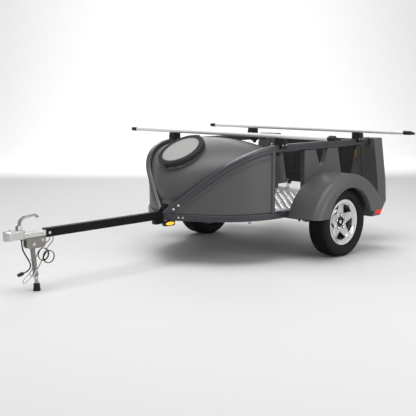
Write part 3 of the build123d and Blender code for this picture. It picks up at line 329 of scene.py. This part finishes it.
def rounded(width, height, radius, x=0.0, y=0.0):
    """Outline of a rectangle with round corners, about x and y."""
    steps = 6
    points = []
    for cx, cy, start in ((1, 1, 0), (-1, 1, 90), (-1, -1, 180), (1, -1, 270)):
        for i in range(steps + 1):
            t = radians(start + 90 * i / steps)
            points.append((x + cx * (width / 2 - radius) + radius * cos(t),
                           y + cy * (height / 2 - radius) + radius * sin(t)))
    return points


def join(pieces, name):
    """Join pieces of one material and body into one."""
    form = bmesh.new()
    for piece in pieces:
        form.from_mesh(piece.data)
    first = pieces[0]
    mesh = first.data
    form.to_mesh(mesh)
    form.free()
    for piece in pieces[1:]:
        bpy.data.objects.remove(piece)
    first.name = name
    mesh.shade_smooth()
    mesh.set_sharp_from_angle(angle=radians(32))
    return first


def bolt(name, at, axis, radius, mat, body, slot, height=None, washer=True):
    """A hexagon head with a rounded washer under it."""
    height = height or radius * 0.7
    axis, side, up = axes_of(axis)
    at = Vector(at)
    parts = []
    if washer:
        parts.append(turned(name + "_washer", [(0, 0), (0, radius * 1.5), (radius * 0.16, radius * 1.45),
                                               (radius * 0.2, 0)], at, axis, mat, body, slot, 20))
    loops = []
    for along, size in ((0, 1), (0.78, 1), (1, 0.86), (1, 0)):
        loops.append([at + axis * (height * along + radius * 0.15)
                      + (side * cos(t) + up * sin(t)) * radius * max(size, 1e-3)
                      for t in [pi / 3 * i for i in range(6)]])
    parts.append(made(name + "_head", *rings(loops), mat, body, slot, 25))
    return join(parts, name)


# Cords, along the part's own routes
def metres(points):
    """Route points given in millimetres from the axle, as points of the frame."""
    return [(x / 1000, AXLE_Y + y / 1000, z / 1000) for x, y, z in points]


# Points of the lighting lead in x, y, z
HARNESS = metres([(0, -2409, 347), (0, -2409, 306), (0, -2394, 264), (0, -2364, 217), (0, -2347, 181),
                  (0, -2354, 155), (0, -2378, 138), (0, -2406, 132)])
harness = rod("harness", HARNESS, 0.0045, CORD, "chassis", sides=5)
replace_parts(harness, "harness_cord")


def cable_route(hand, back):
    """Anchor, two loose turns and tail of one safety cable, in millimetres from the axle."""
    coil_y = -2237 + back
    upper = [
        # x, y, z, share of the step back
        (20, 57, 338, 1), (20, 57, 328, 1), (22, 48, 318, 0.9), (28, 30, 306, 0.6), (35, 10, 295, 0.2),
        (39, -10, 275, 0),
    ]
    points = [(hand * x, coil_y + y - back * share, z) for x, y, z, share in upper]
    steps = 36
    for i in range(steps + 1):
        t = radians(135 + 735 * i / steps)
        reach = 43 - 3 * i / steps
        points.append((hand * (41 + 14 * i / steps), coil_y + reach * cos(t), 225 + reach * sin(t)))
    lower = [(54, -46, 229), (51, -56, 211), (47, -65, 193), (44, -74, 175), (42, -86, 158), (40, -96, 142)]
    points += [(hand * x, coil_y + y, z) for x, y, z in lower]
    return metres(points)


for name, hand, back, length in (
    # hand, step back in millimetres, length in metres
    ("left", 1, 0, 0.771),
    ("right", -1, 22, 0.756),
):
    route = cable_route(hand, back)
    cable = rod(f"safety_cable_run_{name}", route, 0.0025, CORD, "chassis", sides=4)
    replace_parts(cable, f"safety_cable_{name}", f"cable_coil_{name}")
    way = Vector(route[-1]) - Vector(route[-2])
    sleeve = [(-0.014, 0.0001), (-0.014, 0.0042), (0.004, 0.0042), (0.006, 0.003), (0.006, 0.0001)]
    ferrule = turned(f"cable_ferrule_{name}", sleeve, route[-1], way, ZINC, "chassis", "zinc", 16)


# Many like things as one piece
def bolts(name, spots, axis, radius, mat, slot, body="chassis", height=None, washer=True):
    """Like bolts at several spots, as one piece."""
    heads = [bolt(f"{name}_{i}", at, axis, radius, mat, body, slot, height, washer)
             for i, at in enumerate(spots)]
    return join(heads, name)


def carved(mesh, cutter):
    """The mesh less a cutter mesh."""
    whole = bpy.data.objects.new("whole", mesh)
    tool = bpy.data.objects.new("tool", cutter)
    for item in (whole, tool):
        bpy.context.scene.collection.objects.link(item)
    step = whole.modifiers.new("cut", "BOOLEAN")
    step.operation = "DIFFERENCE"
    step.solver = "EXACT"
    step.object = tool
    result = bpy.data.meshes.new_from_object(whole.evaluated_get(bpy.context.evaluated_depsgraph_get()))
    for item in (whole, tool):
        bpy.data.objects.remove(item)
    return result


# Wheels: tyre with tread blocks, and a star rim with a turned lip
SPOKES = 5
SPOKE_TURN = 18                         # degrees from the rear to the first spoke
SECTOR = 180 / SPOKES                   # degrees from a spoke to the middle of the window beside it
NUT_CIRCLE = 0.056
VALVE_CIRCLE = 0.152
TYRE_SIDE = [
    # out from the middle plane, radius, in millimetres
    (59.5, 166), (59.6, 180.6), (66, 181), (70.5, 184), (75.5, 189.5), (76.4, 192), (76.2, 193.5), (79, 195),
    (81.8, 203), (83.5, 214), (84, 226), (83.4, 235), (82.0, 236.5), (82.0, 238.5), (82.6, 240), (80.5, 248),
    (77.5, 255), (73, 261), (66, 263), (40, 264), (14, 264.5),
]
TYRE_INSIDE = [(-46, 166), (-46, 190), (-70, 226), (-60, 252), (60, 252), (70, 226), (46, 190), (46, 166)]
TREAD_RIBS = [
    # section in (out, radius), blocks round the tyre, share filled, skew in degrees per millimetre
    ([(-11, 263), (-11, 272), (11, 272), (11, 263)], 54, 0.80, 0.10),
    ([(16, 263), (16, 272), (33, 271.7), (33, 263)], 54, 0.78, -0.10),
    ([(-33, 263), (-33, 271.7), (-16, 272), (-16, 263)], 54, 0.78, -0.10),
    ([(38, 262), (38, 271.2), (70, 268), (79.5, 254.5), (77, 252), (66, 261)], 62, 0.74, 0.04),
    ([(-66, 261), (-77, 252), (-79.5, 254.5), (-70, 268), (-38, 271.2), (-38, 262)], 62, 0.74, 0.04),
]
STAR = [
    # radius, front and back out from the middle plane, half spread in degrees, how far the flanks fall away
    (42, 34, 15, 36, 0), (46, 35.5, 14, 36, 0), (58, 36, 14, 36, 0), (71, 36.5, 16, 36, 0.3),
    (78, 37, 20, 36, 0.8), (92, 38.5, 24, 26.6, 1), (107, 41, 28, 19.9, 1), (124, 45, 32, 14.8, 1),
    (136, 48.5, 36, 12, 0.9), (141, 50, 38, 11, 0.7), (144, 51, 39, 36, 0.2), (152, 53, 40, 36, 0),
    (159.5, 54, 42, 36, 0),
]
FLANKS = [(-1, 8), (-0.9, 5), (-0.5, 2.4), (0, 0), (0.5, 2.4), (0.9, 5), (1, 8)]
LIP_RING = [(0.048, 0.1535), (0.0555, 0.157), (0.0575, 0.1625), (0.0618, 0.1635), (0.0632, 0.1688),
            (0.0652, 0.1705), (0.066, 0.173), (0.066, 0.1785), (0.0645, 0.1800), (0.0603, 0.1798),
            (0.0603, 0.1652), (0.046, 0.1648), (0.034, 0.160), (0.034, 0.154)]
BARREL = [(-0.066, 0.180), (-0.060, 0.180), (-0.060, 0.165), (-0.040, 0.165), (-0.028, 0.148), (0.016, 0.148),
          (0.030, 0.1635), (0.034, 0.160), (0.018, 0.143), (-0.030, 0.143), (-0.042, 0.160), (-0.066, 0.160)]
NUT = [(0.0245, 0.0001), (0.0245, 0.0125), (0.0275, 0.0122), (0.029, 0.0106), (0.0405, 0.0100),
       (0.0445, 0.0088), (0.0468, 0.0055), (0.0475, 0.0001)]
CAP = [(0.012, 0.0001), (0.012, 0.0362), (0.027, 0.0355), (0.0305, 0.0335), (0.0315, 0.0300),
       (0.0300, 0.0270), (0.0300, 0.0215), (0.0325, 0.0195), (0.0342, 0.0120), (0.0347, 0.0001)]
BUTTON = [(0.0330, 0.0001), (0.0330, 0.0150), (0.0362, 0.0145), (0.0372, 0.0100), (0.0372, 0.0001)]


def tread(name, hand, body):
    """Tread blocks of one tyre, each a prism of its rib's section."""
    verts, faces = [], []
    for section, count, share, skew in TREAD_RIBS:
        size = len(section)
        for i in range(count):
            start = len(verts)
            for end in (0, share):
                for out, radius in section:
                    t = 2 * pi * (i + end) / count + radians(skew * out)
                    verts.append((hand * (TRACK + out / 1000), AXLE_Y + radius / 1000 * cos(t),
                                  TYRE_R + radius / 1000 * sin(t)))
            for j in range(size):
                k = (j + 1) % size
                faces.append((start + j, start + k, start + size + k, start + size + j))
            faces.append(tuple(range(start, start + size))[::-1])
            faces.append(tuple(range(start + size, start + 2 * size)))
    return made(name, verts, faces, TREAD, body, "tyre_rubber")


def star(name, hand, body):
    """Five ridged spokes in one casting, with windows between them and a pocket for each nut."""
    verts, faces = [], []
    wide = len(FLANKS)
    rows = len(STAR)
    for spoke in range(SPOKES):
        start = len(verts)
        for radius, front, back, spread, fall in STAR:
            for outs in ([front - fall * drop for share, drop in FLANKS], [back] * wide):
                for (share, drop), out in zip(FLANKS, outs):
                    t = radians(SPOKE_TURN + 360 / SPOKES * spoke + spread * share)
                    verts.append((hand * (TRACK + out / 1000), AXLE_Y + radius / 1000 * cos(t),
                                  TYRE_R + radius / 1000 * sin(t)))
        for i in range(rows - 1):
            a, b = start + 2 * wide * i, start + 2 * wide * (i + 1)
            for j in range(wide - 1):
                faces.append((a + j, a + j + 1, b + j + 1, b + j))
                faces.append((a + wide + j, b + wide + j, b + wide + j + 1, a + wide + j + 1))
            if min(STAR[i][3], STAR[i + 1][3]) < SECTOR:
                for j in (0, wide - 1):
                    faces.append((a + j, b + j, b + wide + j, a + wide + j))
        for a in (start, start + 2 * wide * (rows - 1)):
            for j in range(wide - 1):
                faces.append((a + j, a + j + 1, a + wide + j + 1, a + wide + j))
    mesh = bpy.data.meshes.new(name)
    mesh.from_pydata(verts, [], faces)
    form = bmesh.new()
    form.from_mesh(mesh)
    bmesh.ops.remove_doubles(form, verts=form.verts, dist=1e-6)
    bmesh.ops.recalc_face_normals(form, faces=form.faces)
    form.to_mesh(mesh)
    form.clear()
    for spot in nut_spots(hand, 0.0445):
        lay = Matrix.Translation(spot) @ Matrix.Rotation(pi / 2, 4, "Y")
        bmesh.ops.create_cone(form, cap_ends=True, segments=28, radius1=0.0142, radius2=0.0142, depth=0.040,
                              matrix=lay)
    cutter = bpy.data.meshes.new(name + "_pockets")
    form.to_mesh(cutter)
    form.free()
    return settle(name, carved(mesh, cutter), ALLOY, body, 11)


def nut_spots(hand, out):
    """Middles of the wheel nuts at a distance out from the tyre's middle plane."""
    turns = [radians(SPOKE_TURN + 360 / SPOKES * i) for i in range(SPOKES)]
    return [Vector((hand * (TRACK + out), AXLE_Y + NUT_CIRCLE * cos(t), TYRE_R + NUT_CIRCLE * sin(t)))
            for t in turns]


def wheel(side_name, hand):
    """Everything that turns on one side."""
    body = f"wheel_{side_name}"
    middle = (hand * TRACK, AXLE_Y, TYRE_R)
    out = (hand, 0, 0)
    loop = TYRE_SIDE + [(-a, r) for a, r in TYRE_SIDE[::-1]] + TYRE_INSIDE
    tyre = turned(f"tyre_carcass_{side_name}", [(a / 1000, r / 1000) for a, r in loop], middle, out, TREAD,
                  body, "tyre_rubber", 96, closed=True)
    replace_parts(tyre, f"tyre_{side_name}")
    tread(f"tyre_tread_{side_name}", hand, body)
    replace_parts(star(f"rim_star_{side_name}", hand, body), f"rim_{side_name}")
    turned(f"rim_lip_{side_name}", LIP_RING, middle, out, LIP, body, "wheel_alloy", 96, 20, closed=True)
    # The barrel takes the dark finish that paints the shade inside the wheel
    turned(f"rim_barrel_{side_name}", BARREL, middle, out, BARREL_SHADE, body, "wheel_alloy", 72, 20,
           closed=True)
    nuts = [turned(f"nut_{side_name}_{i}", NUT, spot, out, CHROME, body, "hub_steel", 12)
            for i, spot in enumerate(nut_spots(hand, 0))]
    join(nuts, f"wheel_nuts_{side_name}")
    turned(f"hub_cap_{side_name}", CAP, middle, out, BLACK, body, "black_plastic", 40, 18)
    turned(f"hub_button_{side_name}", BUTTON, middle, out, CHROME, body, "hub_steel", 32, 18)
    t = radians(SPOKE_TURN + SECTOR)
    foot = Vector((hand * (TRACK + 0.030), AXLE_Y + VALVE_CIRCLE * cos(t), TYRE_R + VALVE_CIRCLE * sin(t)))
    way = (hand, -0.35 * cos(t), -0.35 * sin(t))
    stem = [(0, 0.0001), (0, 0.006), (0.008, 0.0055), (0.010, 0.0036), (0.024, 0.0034), (0.026, 0.0001)]
    turned(f"valve_{side_name}", stem, foot, way, BLACK, body, "tyre_rubber", 14)


wheel("left", 1)
wheel("right", -1)


# Deck: raised lozenges in turned pairs
def tread_plate():
    """Rows of small lozenges on the deck plate, each turned square to its neighbours."""
    verts, faces = [], []
    pitch, front_y = 0.036, 0.340
    half_length, half_width, height = 0.0180, 0.0060, 0.0028
    for i in range(-14, 15):
        for j in range(32):
            at = Vector((i * pitch, front_y + j * pitch, DECK_TOP))
            turn = radians(45 if (i + j) % 2 else -45)
            along = Vector((cos(turn), sin(turn), 0))
            aside = Vector((-sin(turn), cos(turn), 0))
            start = len(verts)
            for a, b, z in ((-1, 0, 0), (0, -1, 0), (1, 0, 0), (0, 1, 0), (-0.62, 0, 1), (0.62, 0, 1)):
                lift = Vector((0, 0, height * z))
                verts.append(at + along * half_length * a + aside * half_width * b + lift)
            for face in ((0, 1, 5, 4), (1, 2, 5), (2, 3, 4, 5), (3, 0, 4)):
                faces.append(tuple(start + k for k in face))
    # Painted highlight: the lozenges take the pale polished lip finish, far brighter than the plate around
    # them, for the light their raised edges catch
    return made("deck_tread", verts, faces, LIP, "chassis", "deck_plate", 15)


tread_plate()


# Nose: folds of the panels, black strips at their foot painted as the shadow gap above the lower rails, the
# cover's foot, bolts of the rails and the bracket at the apex
def nose_y(x):
    """The nose line's y at x."""
    return NOSE_Y - (SIDE_X - x) * tan(SLANT)


def panel_spot(run, out):
    """A spot on the nose panel's outside: run is 0 at the bend's rear end, 1 at its front, 2 at the apex."""
    reach = BEND_R + out
    if run <= 1:
        t = (radians(90) - SLANT) * run
        return BEND_MIDDLE[0] + reach * cos(t), BEND_MIDDLE[1] - reach * sin(t)
    t = radians(90) - SLANT
    x, y = BEND_MIDDLE[0] + reach * cos(t), BEND_MIDDLE[1] - reach * sin(t)
    apex_x = 0.055
    share = run - 1
    return x + (apex_x - x) * share, y - (x - apex_x) * share * tan(SLANT)


def fold(hand, name):
    """A rounded fold in the nose panel, parallel to the rail above it, and a black strip at the panel's foot
    that paints the shadow gap above the lower rail.
    """
    bead = 0.0075
    points = []
    for i in range(28):
        x, y = panel_spot(0.10 + 1.64 * i / 27, bead)
        points.append((hand * x, y, RAIL_FOOT + (x - bead) * tan(TILT) - 0.066))
    rod(f"panel_fold_{name}", points, bead, MOULDED, "chassis")
    points = []
    for i in range(30):
        x, y = panel_spot(-0.04 + 1.96 * i / 29, 0.0085)
        points.append((hand * x, y, 0.3925))
    # Painted shadow: a black rubber strip along the panel's foot stands in for the shadow gap between panel
    # and lower rail
    rod(f"panel_shadow_strip_{name}", points, 0.0032, RUBBER, "chassis")


def nose_tip():
    """The cover's foot: it narrows between the rails down to the bracket at the apex."""
    rows, columns = 6, 17
    top_half, narrowing = 0.123, 0.078
    verts = []
    for depth in (0, 0.005):
        for i in range(rows):
            share = i / (rows - 1)
            half = top_half - narrowing * share
            for j in range(columns):
                t = 2 * j / (columns - 1) - 1
                swell = (1 - t * t) * (0.0336 - 0.018 * share)
                y = nose_y(half) + 0.0151 - swell + depth
                z = RAIL_FOOT + half * tan(TILT) + (1 - t * t) * 0.005 * (1 - share)
                verts.append((half * t, y, z + 0.0012))
    faces = []
    size = rows * columns
    for i in range(rows - 1):
        for j in range(columns - 1):
            a = i * columns + j
            faces.append((a, a + 1, a + columns + 1, a + columns))
            faces.append((size + a, size + a + columns, size + a + columns + 1, size + a + 1))
    for i in range(rows - 1):
        for j in (0, columns - 1):
            a = i * columns + j
            faces.append((a, a + columns, size + a + columns, size + a))
    for i in (0, rows - 1):
        for j in range(columns - 1):
            a = i * columns + j
            faces.append((a, a + 1, size + a + 1, size + a))
    made("nose_tip", verts, faces, MOULDED, "chassis", "body_plastic", 40)


nose_tip()

# Across and square to an upper rail's flat face, on the left
WIDE_AXIS = Vector((0.636, -0.706, -0.311))
HIGH_AXIS = Vector((-0.311, -0.603, 0.7345))


def handed(point, hand):
    """A left-hand point or direction, mirrored for the right."""
    return Vector((hand * point[0], point[1], point[2]))


for name, hand in SIDES:
    fold(hand, name)
    spots = []
    for x in (0.078, 0.112):
        middle = Vector((x, nose_y(x), RAIL_FOOT + x * tan(TILT)))
        spots.append(handed(middle + WIDE_AXIS * 0.0223 - HIGH_AXIS * 0.006, hand))
    bolts(f"rail_bolts_{name}", spots, handed(WIDE_AXIS, hand), 0.0062, CHROME, "zinc")
    out = Vector((sin(SLANT), -cos(SLANT), 0))
    spots = [handed(Vector((x, nose_y(x), 0.366)) + out * 0.0198, hand) for x in (0.120, 0.150)]
    bolts(f"lower_bolts_{name}", spots, handed(out, hand), 0.005, ZINC, "zinc")
    bolts(f"bracket_bolts_{name}", [(hand * 0.0248, -0.240, 0.438), (hand * 0.0248, -0.222, 0.420)],
          (hand, 0, 0), 0.0065, ZINC, "zinc")
    button = [(0, 0.0001), (0, 0.010), (0.0022, 0.0095), (0.003, 0.007), (0.003, 0.0001)]
    turned(f"tongue_button_{name}", button, (hand * 0.0249, -1.318, 0.378), (hand, 0, 0), CAST, "chassis",
           "cast", 24)
    x, y = panel_spot(0.42, 0.0)
    rail_under = 0.3415
    rod(f"tie_loop_{name}", [(hand * (x + dx), y + dy, rail_under - dz) for dx, dy, dz in
                             ((-0.006, 0.020, 0), (-0.004, 0.016, 0.016), (0, 0, 0.020),
                              (0.004, -0.016, 0.016), (0.004, -0.020, 0))], 0.003, BEAM, "chassis")

# Hatch: seal, panel ring, catch and hinge screws
OVER = Vector((0, -sin(HATCH_TILT), cos(HATCH_TILT)))
UPHILL = Vector((0, cos(HATCH_TILT), sin(HATCH_TILT)))


def on_hatch(u, v, w):
    """A point in the hatch's own axes."""
    return HATCH_AT + Vector((1, 0, 0)) * u + UPHILL * v + OVER * w


turned("hatch_seal", [(-0.0152, 0.1860), (-0.0152, 0.1893), (-0.0118, 0.1897), (-0.0105, 0.1880),
                      (-0.0105, 0.1860)], HATCH_AT, OVER, RUBBER, "hatch_lid", "black_plastic", 72,
       closed=True)
turned("panel_ring", [(-0.0040, 0.1440), (-0.0012, 0.1432), (-0.0008, 0.1410), (-0.0012, 0.1388),
                      (-0.0040, 0.1380)], HATCH_AT, OVER, DISC, "hatch_lid", "hatch_plastic", 72, closed=True)
turned("panel_joint", [(-0.0040, 0.1530), (-0.0005, 0.1530), (-0.0005, 0.1500), (-0.0040, 0.1496)],
       HATCH_AT, OVER, RUBBER, "hatch_lid", "black_plastic", 72, closed=True)
slab("hatch_catch", rounded(0.034, 0.013, 0.004, x=0, y=-0.1935), on_hatch(0, 0, -0.0355), (1, 0, 0), UPHILL,
     0.013, BLACK, "chassis")
bolts("lid_screws", [on_hatch(0.1775 * sin(t), 0.1775 * cos(t), -0.0012) for t in
                     [radians(22.5 + 45 * i) for i in range(8)]], OVER, 0.0034, BLACK, "black_plastic",
      "hatch_lid", 0.0012, False)


# Load bars: strips in the slots, tower clamps, fluted knobs and their screws
def knob(name, at):
    """A hanging clamp knob with flutes."""
    loops = []
    for z, size in ((0, 0.0150), (-0.003, 0.0172), (-0.014, 0.0172), (-0.017, 0.0150), (-0.017, 0.0001)):
        ring = []
        for i in range(48):
            t = 2 * pi * i / 48
            flute = 0.0014 * (0.5 - 0.5 * cos(8 * t)) if size > 0.01 else 0
            ring.append(Vector(at) + Vector(((size - flute) * cos(t), (size - flute) * sin(t), z)))
        loops.append(ring)
    return made(name, *rings(loops), BLACK, "chassis", "black_plastic")


for name, y in BARS:
    slab(f"bar_strip_{name}", rounded(2.072, 0.0096, 0.001), (0, y - 0.0205, BAR_TOP), (1, 0, 0), (0, 1, 0),
         0.0032, RUBBER, "chassis", bevel=0.0008)
    for side_name, hand in SIDES:
        knob(f"knob_{name}_{side_name}", (hand * 0.561, y, 0.8285))
        bolts(f"tower_bolts_{name}_{side_name}", [(hand * 0.6188, y - 0.020, 0.893),
                                                  (hand * 0.6188, y + 0.020, 0.893)], (hand, 0, 0), 0.005,
              CHROME, "zinc")
        slab(f"tower_pad_{name}_{side_name}", rounded(0.074, 0.074, 0.010, x=hand * SIDE_X), (0, y, 0.9425),
             (1, 0, 0), (0, 1, 0), 0.0028, RUBBER, "chassis", bevel=0.0008)
        slab(f"tower_cover_{name}_{side_name}", rounded(0.050, 0.034, 0.008),
             (hand * 0.6185, y, 0.922), (0, hand, 0), (0, 0, 1), 0.0030, BLACK, "chassis")


# Fenders, lamps, axle clamps, latches and deck eyes
for name, hand in SIDES:
    stub = [(0, 0.0001), (0, 0.013), (-0.004, 0.013), (-0.006, 0.009), (-0.020, 0.0085), (-0.021, 0.0001)]
    turned(f"fender_stub_{name}", stub, (hand * 0.700, 0.462, 0.3402), (0, 0, 1), BLACK, "chassis",
           "black_plastic", 20)
    bolts(f"fender_bolts_{name}", [(hand * 0.5999, y, 0.412) for y in (0.660, 1.000, 1.120)], (hand, 0, 0),
          0.006, ZINC, "zinc")
    rod(f"lamp_frame_{name}", [(hand * x, y, 0.3035) for x, y in
                               ((0.6730, 1.557), (0.6730, 1.600), (0.6730, 1.634), (0.6690, 1.6455),
                                (0.632, 1.6465))], 0.0030, BLACK, "chassis")
    ring = [(hand * 0.0728, -0.286 + 0.0445 * cos(t), 0.3207 + 0.0140 * sin(t)) for t in
            [2 * pi * i / 24 for i in range(24)]]
    rod(f"marker_bezel_{name}", ring, 0.0022, BLACK, "chassis", cyclic=True)
    ubolts = []
    for x in (0.566, 0.594):
        for y in (0.6865, 0.7535):
            ubolts.append((hand * x, y, 0.2815))
    bolts(f"axle_nuts_{name}", ubolts, (0, 0, -1), 0.007, ZINC, "zinc", height=0.008)
    slab(f"axle_plate_{name}", rounded(0.048, 0.092, 0.006, x=hand * SIDE_X, y=0.720), (0, 0, 0.2770),
         (1, 0, 0), (0, 1, 0), 0.0048, ZINC, "chassis")
    bolts(f"latch_screw_{name}", [(hand * LATCH_X, 1.5065, 0.795)], (0, -1, 0), 0.0065, CHROME, "zinc",
          height=0.006)
    slab(f"latch_hasp_{name}", rounded(0.018, 0.052, 0.006), (hand * LATCH_X, 1.5085, 0.760), (-1, 0, 0),
         (0, 0, 1), 0.0040, BRASS, "chassis")
    rod(f"deck_eye_{name}", [(hand * 0.535, 0.60 + a, 0.3895 + b) for a, b in
                             ((-0.018, 0), (-0.016, 0.020), (0, 0.030), (0.016, 0.020), (0.018, 0))], 0.0035,
        CHROME, "chassis")

# Tailgate: stiffening ribs, studs between them and hinge screws
for name, width, z in (("top", 0.70, 0.800), ("low", 0.64, 0.540)):
    slab(f"gate_rib_{name}", rounded(width, 0.020, 0.006, y=z), (0, GATE_FACE, 0), (1, 0, 0), (0, 0, 1),
         0.0070, GATE, "tailgate")
for i, x in enumerate((-0.25, -0.125, 0, 0.125, 0.25)):
    slab(f"gate_stud_{i}", rounded(0.014, 0.225, 0.005, x=x, y=0.670), (0, GATE_FACE, 0), (1, 0, 0),
         (0, 0, 1), 0.0055, GATE, "tailgate")
bolts("gate_screws", [(x, GATE_Y - 0.0124, z) for x, z in
                      ((-0.33, 0.468), (0.33, 0.468), (-0.39, 0.855), (0.39, 0.855))],
      (0, -1, 0), 0.0055, ZINC, "zinc", "tailgate")


# Coupler: pivot ears, adjusting nut, neck bolts and the pressed edges of the handle
HANDLE = [(-1.535, 0.4225), (-1.533, 0.450), (-1.528, 0.478), (-1.495, 0.499), (-1.410, 0.507),
          (-1.394, 0.490)]
for name, hand in SIDES:
    slab(f"coupler_ear_{name}", rounded(0.034, 0.040, 0.010, x=-1.536, y=0.428), (hand * 0.0128, 0, 0),
         (0, 1, 0), (0, 0, 1), hand * 0.0045, CAST, "chassis")
    bolts(f"handle_pin_{name}", [(hand * 0.0170, -1.536, 0.438)], (hand, 0, 0), 0.0065, CHROME, "cast")
    bolts(f"neck_bolts_{name}", [(hand * 0.0218, -1.478, 0.380), (hand * 0.0218, -1.366, 0.380)],
          (hand, 0, 0), 0.0085, ZINC, "zinc")
    rod(f"handle_edge_{name}", [(hand * 0.0118, y, z) for y, z in HANDLE], 0.0042, HANDLE_CAST, "chassis")
bolts("coupler_nut", [(0, -1.603, 0.4208)], (0, 0, 1), 0.0095, ZINC, "zinc", height=0.008)


# Stand: bolts of the channel, collars, locking pin and foot ribs, and the ribs of the lead's plug
DOWN = Vector((0, sin(LEAN), -cos(LEAN)))
foot_y = STAND_PIVOT.y + (0.317 - FOOT_TOP) / cos(LEAN) * sin(LEAN)
for name, hand in SIDES:
    bolts(f"pivot_bolt_{name}", [(hand * 0.0257, STAND_PIVOT.y, STAND_PIVOT.z)], (hand, 0, 0), 0.008, ZINC,
          "stand_paint")
    bolts(f"channel_bolts_{name}", [(hand * 0.0218, -1.372, 0.336)], (hand, 0, 0), 0.0065, ZINC, "zinc")
turned("leg_collar_low", [(0.196, 0.0158), (0.196, 0.0185), (0.216, 0.0185), (0.218, 0.0172),
                          (0.218, 0.0127)], STAND_PIVOT, DOWN, WARM, "stand", "stand_paint", 32, closed=True)
turned("leg_collar_top", [(0.106, 0.0158), (0.106, 0.0178), (0.114, 0.0178), (0.114, 0.0158)], STAND_PIVOT,
       DOWN, WARM, "stand", "stand_paint", 32, closed=True)
LOCK_PIN = [(-0.024, 0.0001), (-0.024, 0.0055), (-0.018, 0.006), (-0.016, 0.004), (0.016, 0.004),
            (0.018, 0.006), (0.024, 0.0055), (0.024, 0.0001)]
turned("lock_pin", LOCK_PIN, STAND_PIVOT + DOWN * 0.152, (1, 0, 0), ZINC, "stand", "zinc", 16)
for i, z in enumerate((0.010, 0.019, 0.028, 0.037)):
    r = 0.0240 - z * 0.07
    rib = [(z - 0.0018, r - 0.001), (z - 0.001, r + 0.0012), (z + 0.001, r + 0.0012), (z + 0.0018, r - 0.001)]
    turned(f"foot_rib_{i}", rib, (0, foot_y, 0), (0, 0, 1), BLACK, "stand_foot", "black_plastic", 40,
           closed=True)
plug_way = Vector((0, -0.028, -0.006)).normalized()
for i, along in enumerate((0.008, 0.013, 0.018, 0.023)):
    rib = [(along - 0.0014, 0.0104), (along - 0.0008, 0.0120), (along + 0.0008, 0.0120),
           (along + 0.0014, 0.0104)]
    turned(f"plug_rib_{i}", rib, HARNESS[-1], plug_way, BLACK, "chassis", "black_plastic", 24, closed=True)


# Floor and light
def studio():
    """A pale floor that curves up behind the object, a pale sky and four area lights."""
    reach, rise = 40, 30
    bend_from, bend = 9, 7
    profile = [(-reach, 0)]
    profile += [(bend_from + bend * sin(radians(a)), bend - bend * cos(radians(a))) for a in range(0, 91, 6)]
    profile += [(bend_from + bend, rise)]
    away = Vector((-sin(VIEW_TURN), cos(VIEW_TURN), 0))
    aside = Vector((cos(VIEW_TURN), sin(VIEW_TURN), 0))
    verts, faces = [], []
    for i, (along, height) in enumerate(profile):
        for across in (-reach, reach):
            verts.append(away * along + aside * across + Vector((0, 0, height)))
        if i:
            a = 2 * i
            faces.append((a - 2, a - 1, a + 1, a))
    mesh = bpy.data.meshes.new("studio_floor")
    mesh.from_pydata(verts, [], faces)
    mesh.shade_smooth()
    mesh.materials.append(finish_of("studio_paper", (0.79, 0.79, 0.79), 0.85, vary=0.01, grain=60, bump=0.02))
    floor = bpy.data.objects.new("studio_floor", mesh)
    bpy.context.scene.collection.objects.link(floor)
    world = bpy.data.worlds.new("studio")
    bpy.context.scene.world = world
    world.use_nodes = True
    sky_nodes = world.node_tree.nodes
    link = world.node_tree.links.new
    sky = sky_nodes["Background"]
    sky.inputs["Color"].default_value = (1, 1, 1, 1)
    # The sky lights the object softly, and is paler where the camera or a bright surface sees it
    rays = sky_nodes.new("ShaderNodeLightPath")
    mirrored = sky_nodes.new("ShaderNodeMath")
    mirrored.operation = "MAXIMUM"
    seen = sky_nodes.new("ShaderNodeMath")
    seen.operation = "MAXIMUM"
    level = sky_nodes.new("ShaderNodeMapRange")
    level.inputs["To Min"].default_value = 0.30
    level.inputs["To Max"].default_value = 0.88
    link(rays.outputs["Is Glossy Ray"], mirrored.inputs[0])
    link(rays.outputs["Is Transmission Ray"], mirrored.inputs[1])
    link(rays.outputs["Is Camera Ray"], seen.inputs[0])
    link(mirrored.outputs["Value"], seen.inputs[1])
    link(seen.outputs["Value"], level.inputs["Value"])
    link(level.outputs["Result"], sky.inputs["Strength"])
    for name, at, to, size, power in (
        # place, aim, side in metres, watts
        ("key", (0.6, -1.2, 6.5), (0, 0.2, 0.4), 5.0, 320),
        ("side", (6.5, 1.5, 2.6), (0, 0.4, 0.4), 4.0, 140),
        ("back", (-5.0, 4.5, 4.5), (0, 0.2, 0.4), 4.0, 100),
        ("wash", (-5.5, 5.5, 6.0), (-11.3, 11.3, 3.0), 9.0, 760),
    ):
        data = bpy.data.lights.new(name, "AREA")
        data.size = size
        data.energy = power
        lamp = bpy.data.objects.new(name, data)
        bpy.context.scene.collection.objects.link(lamp)
        lamp.location = at
        aim = Vector(to) - Vector(at)
        lamp.rotation_mode = "QUATERNION"
        lamp.rotation_quaternion = aim.to_track_quat("-Z", "Y")
    bpy.context.scene.view_settings.view_transform = "Standard"


studio()
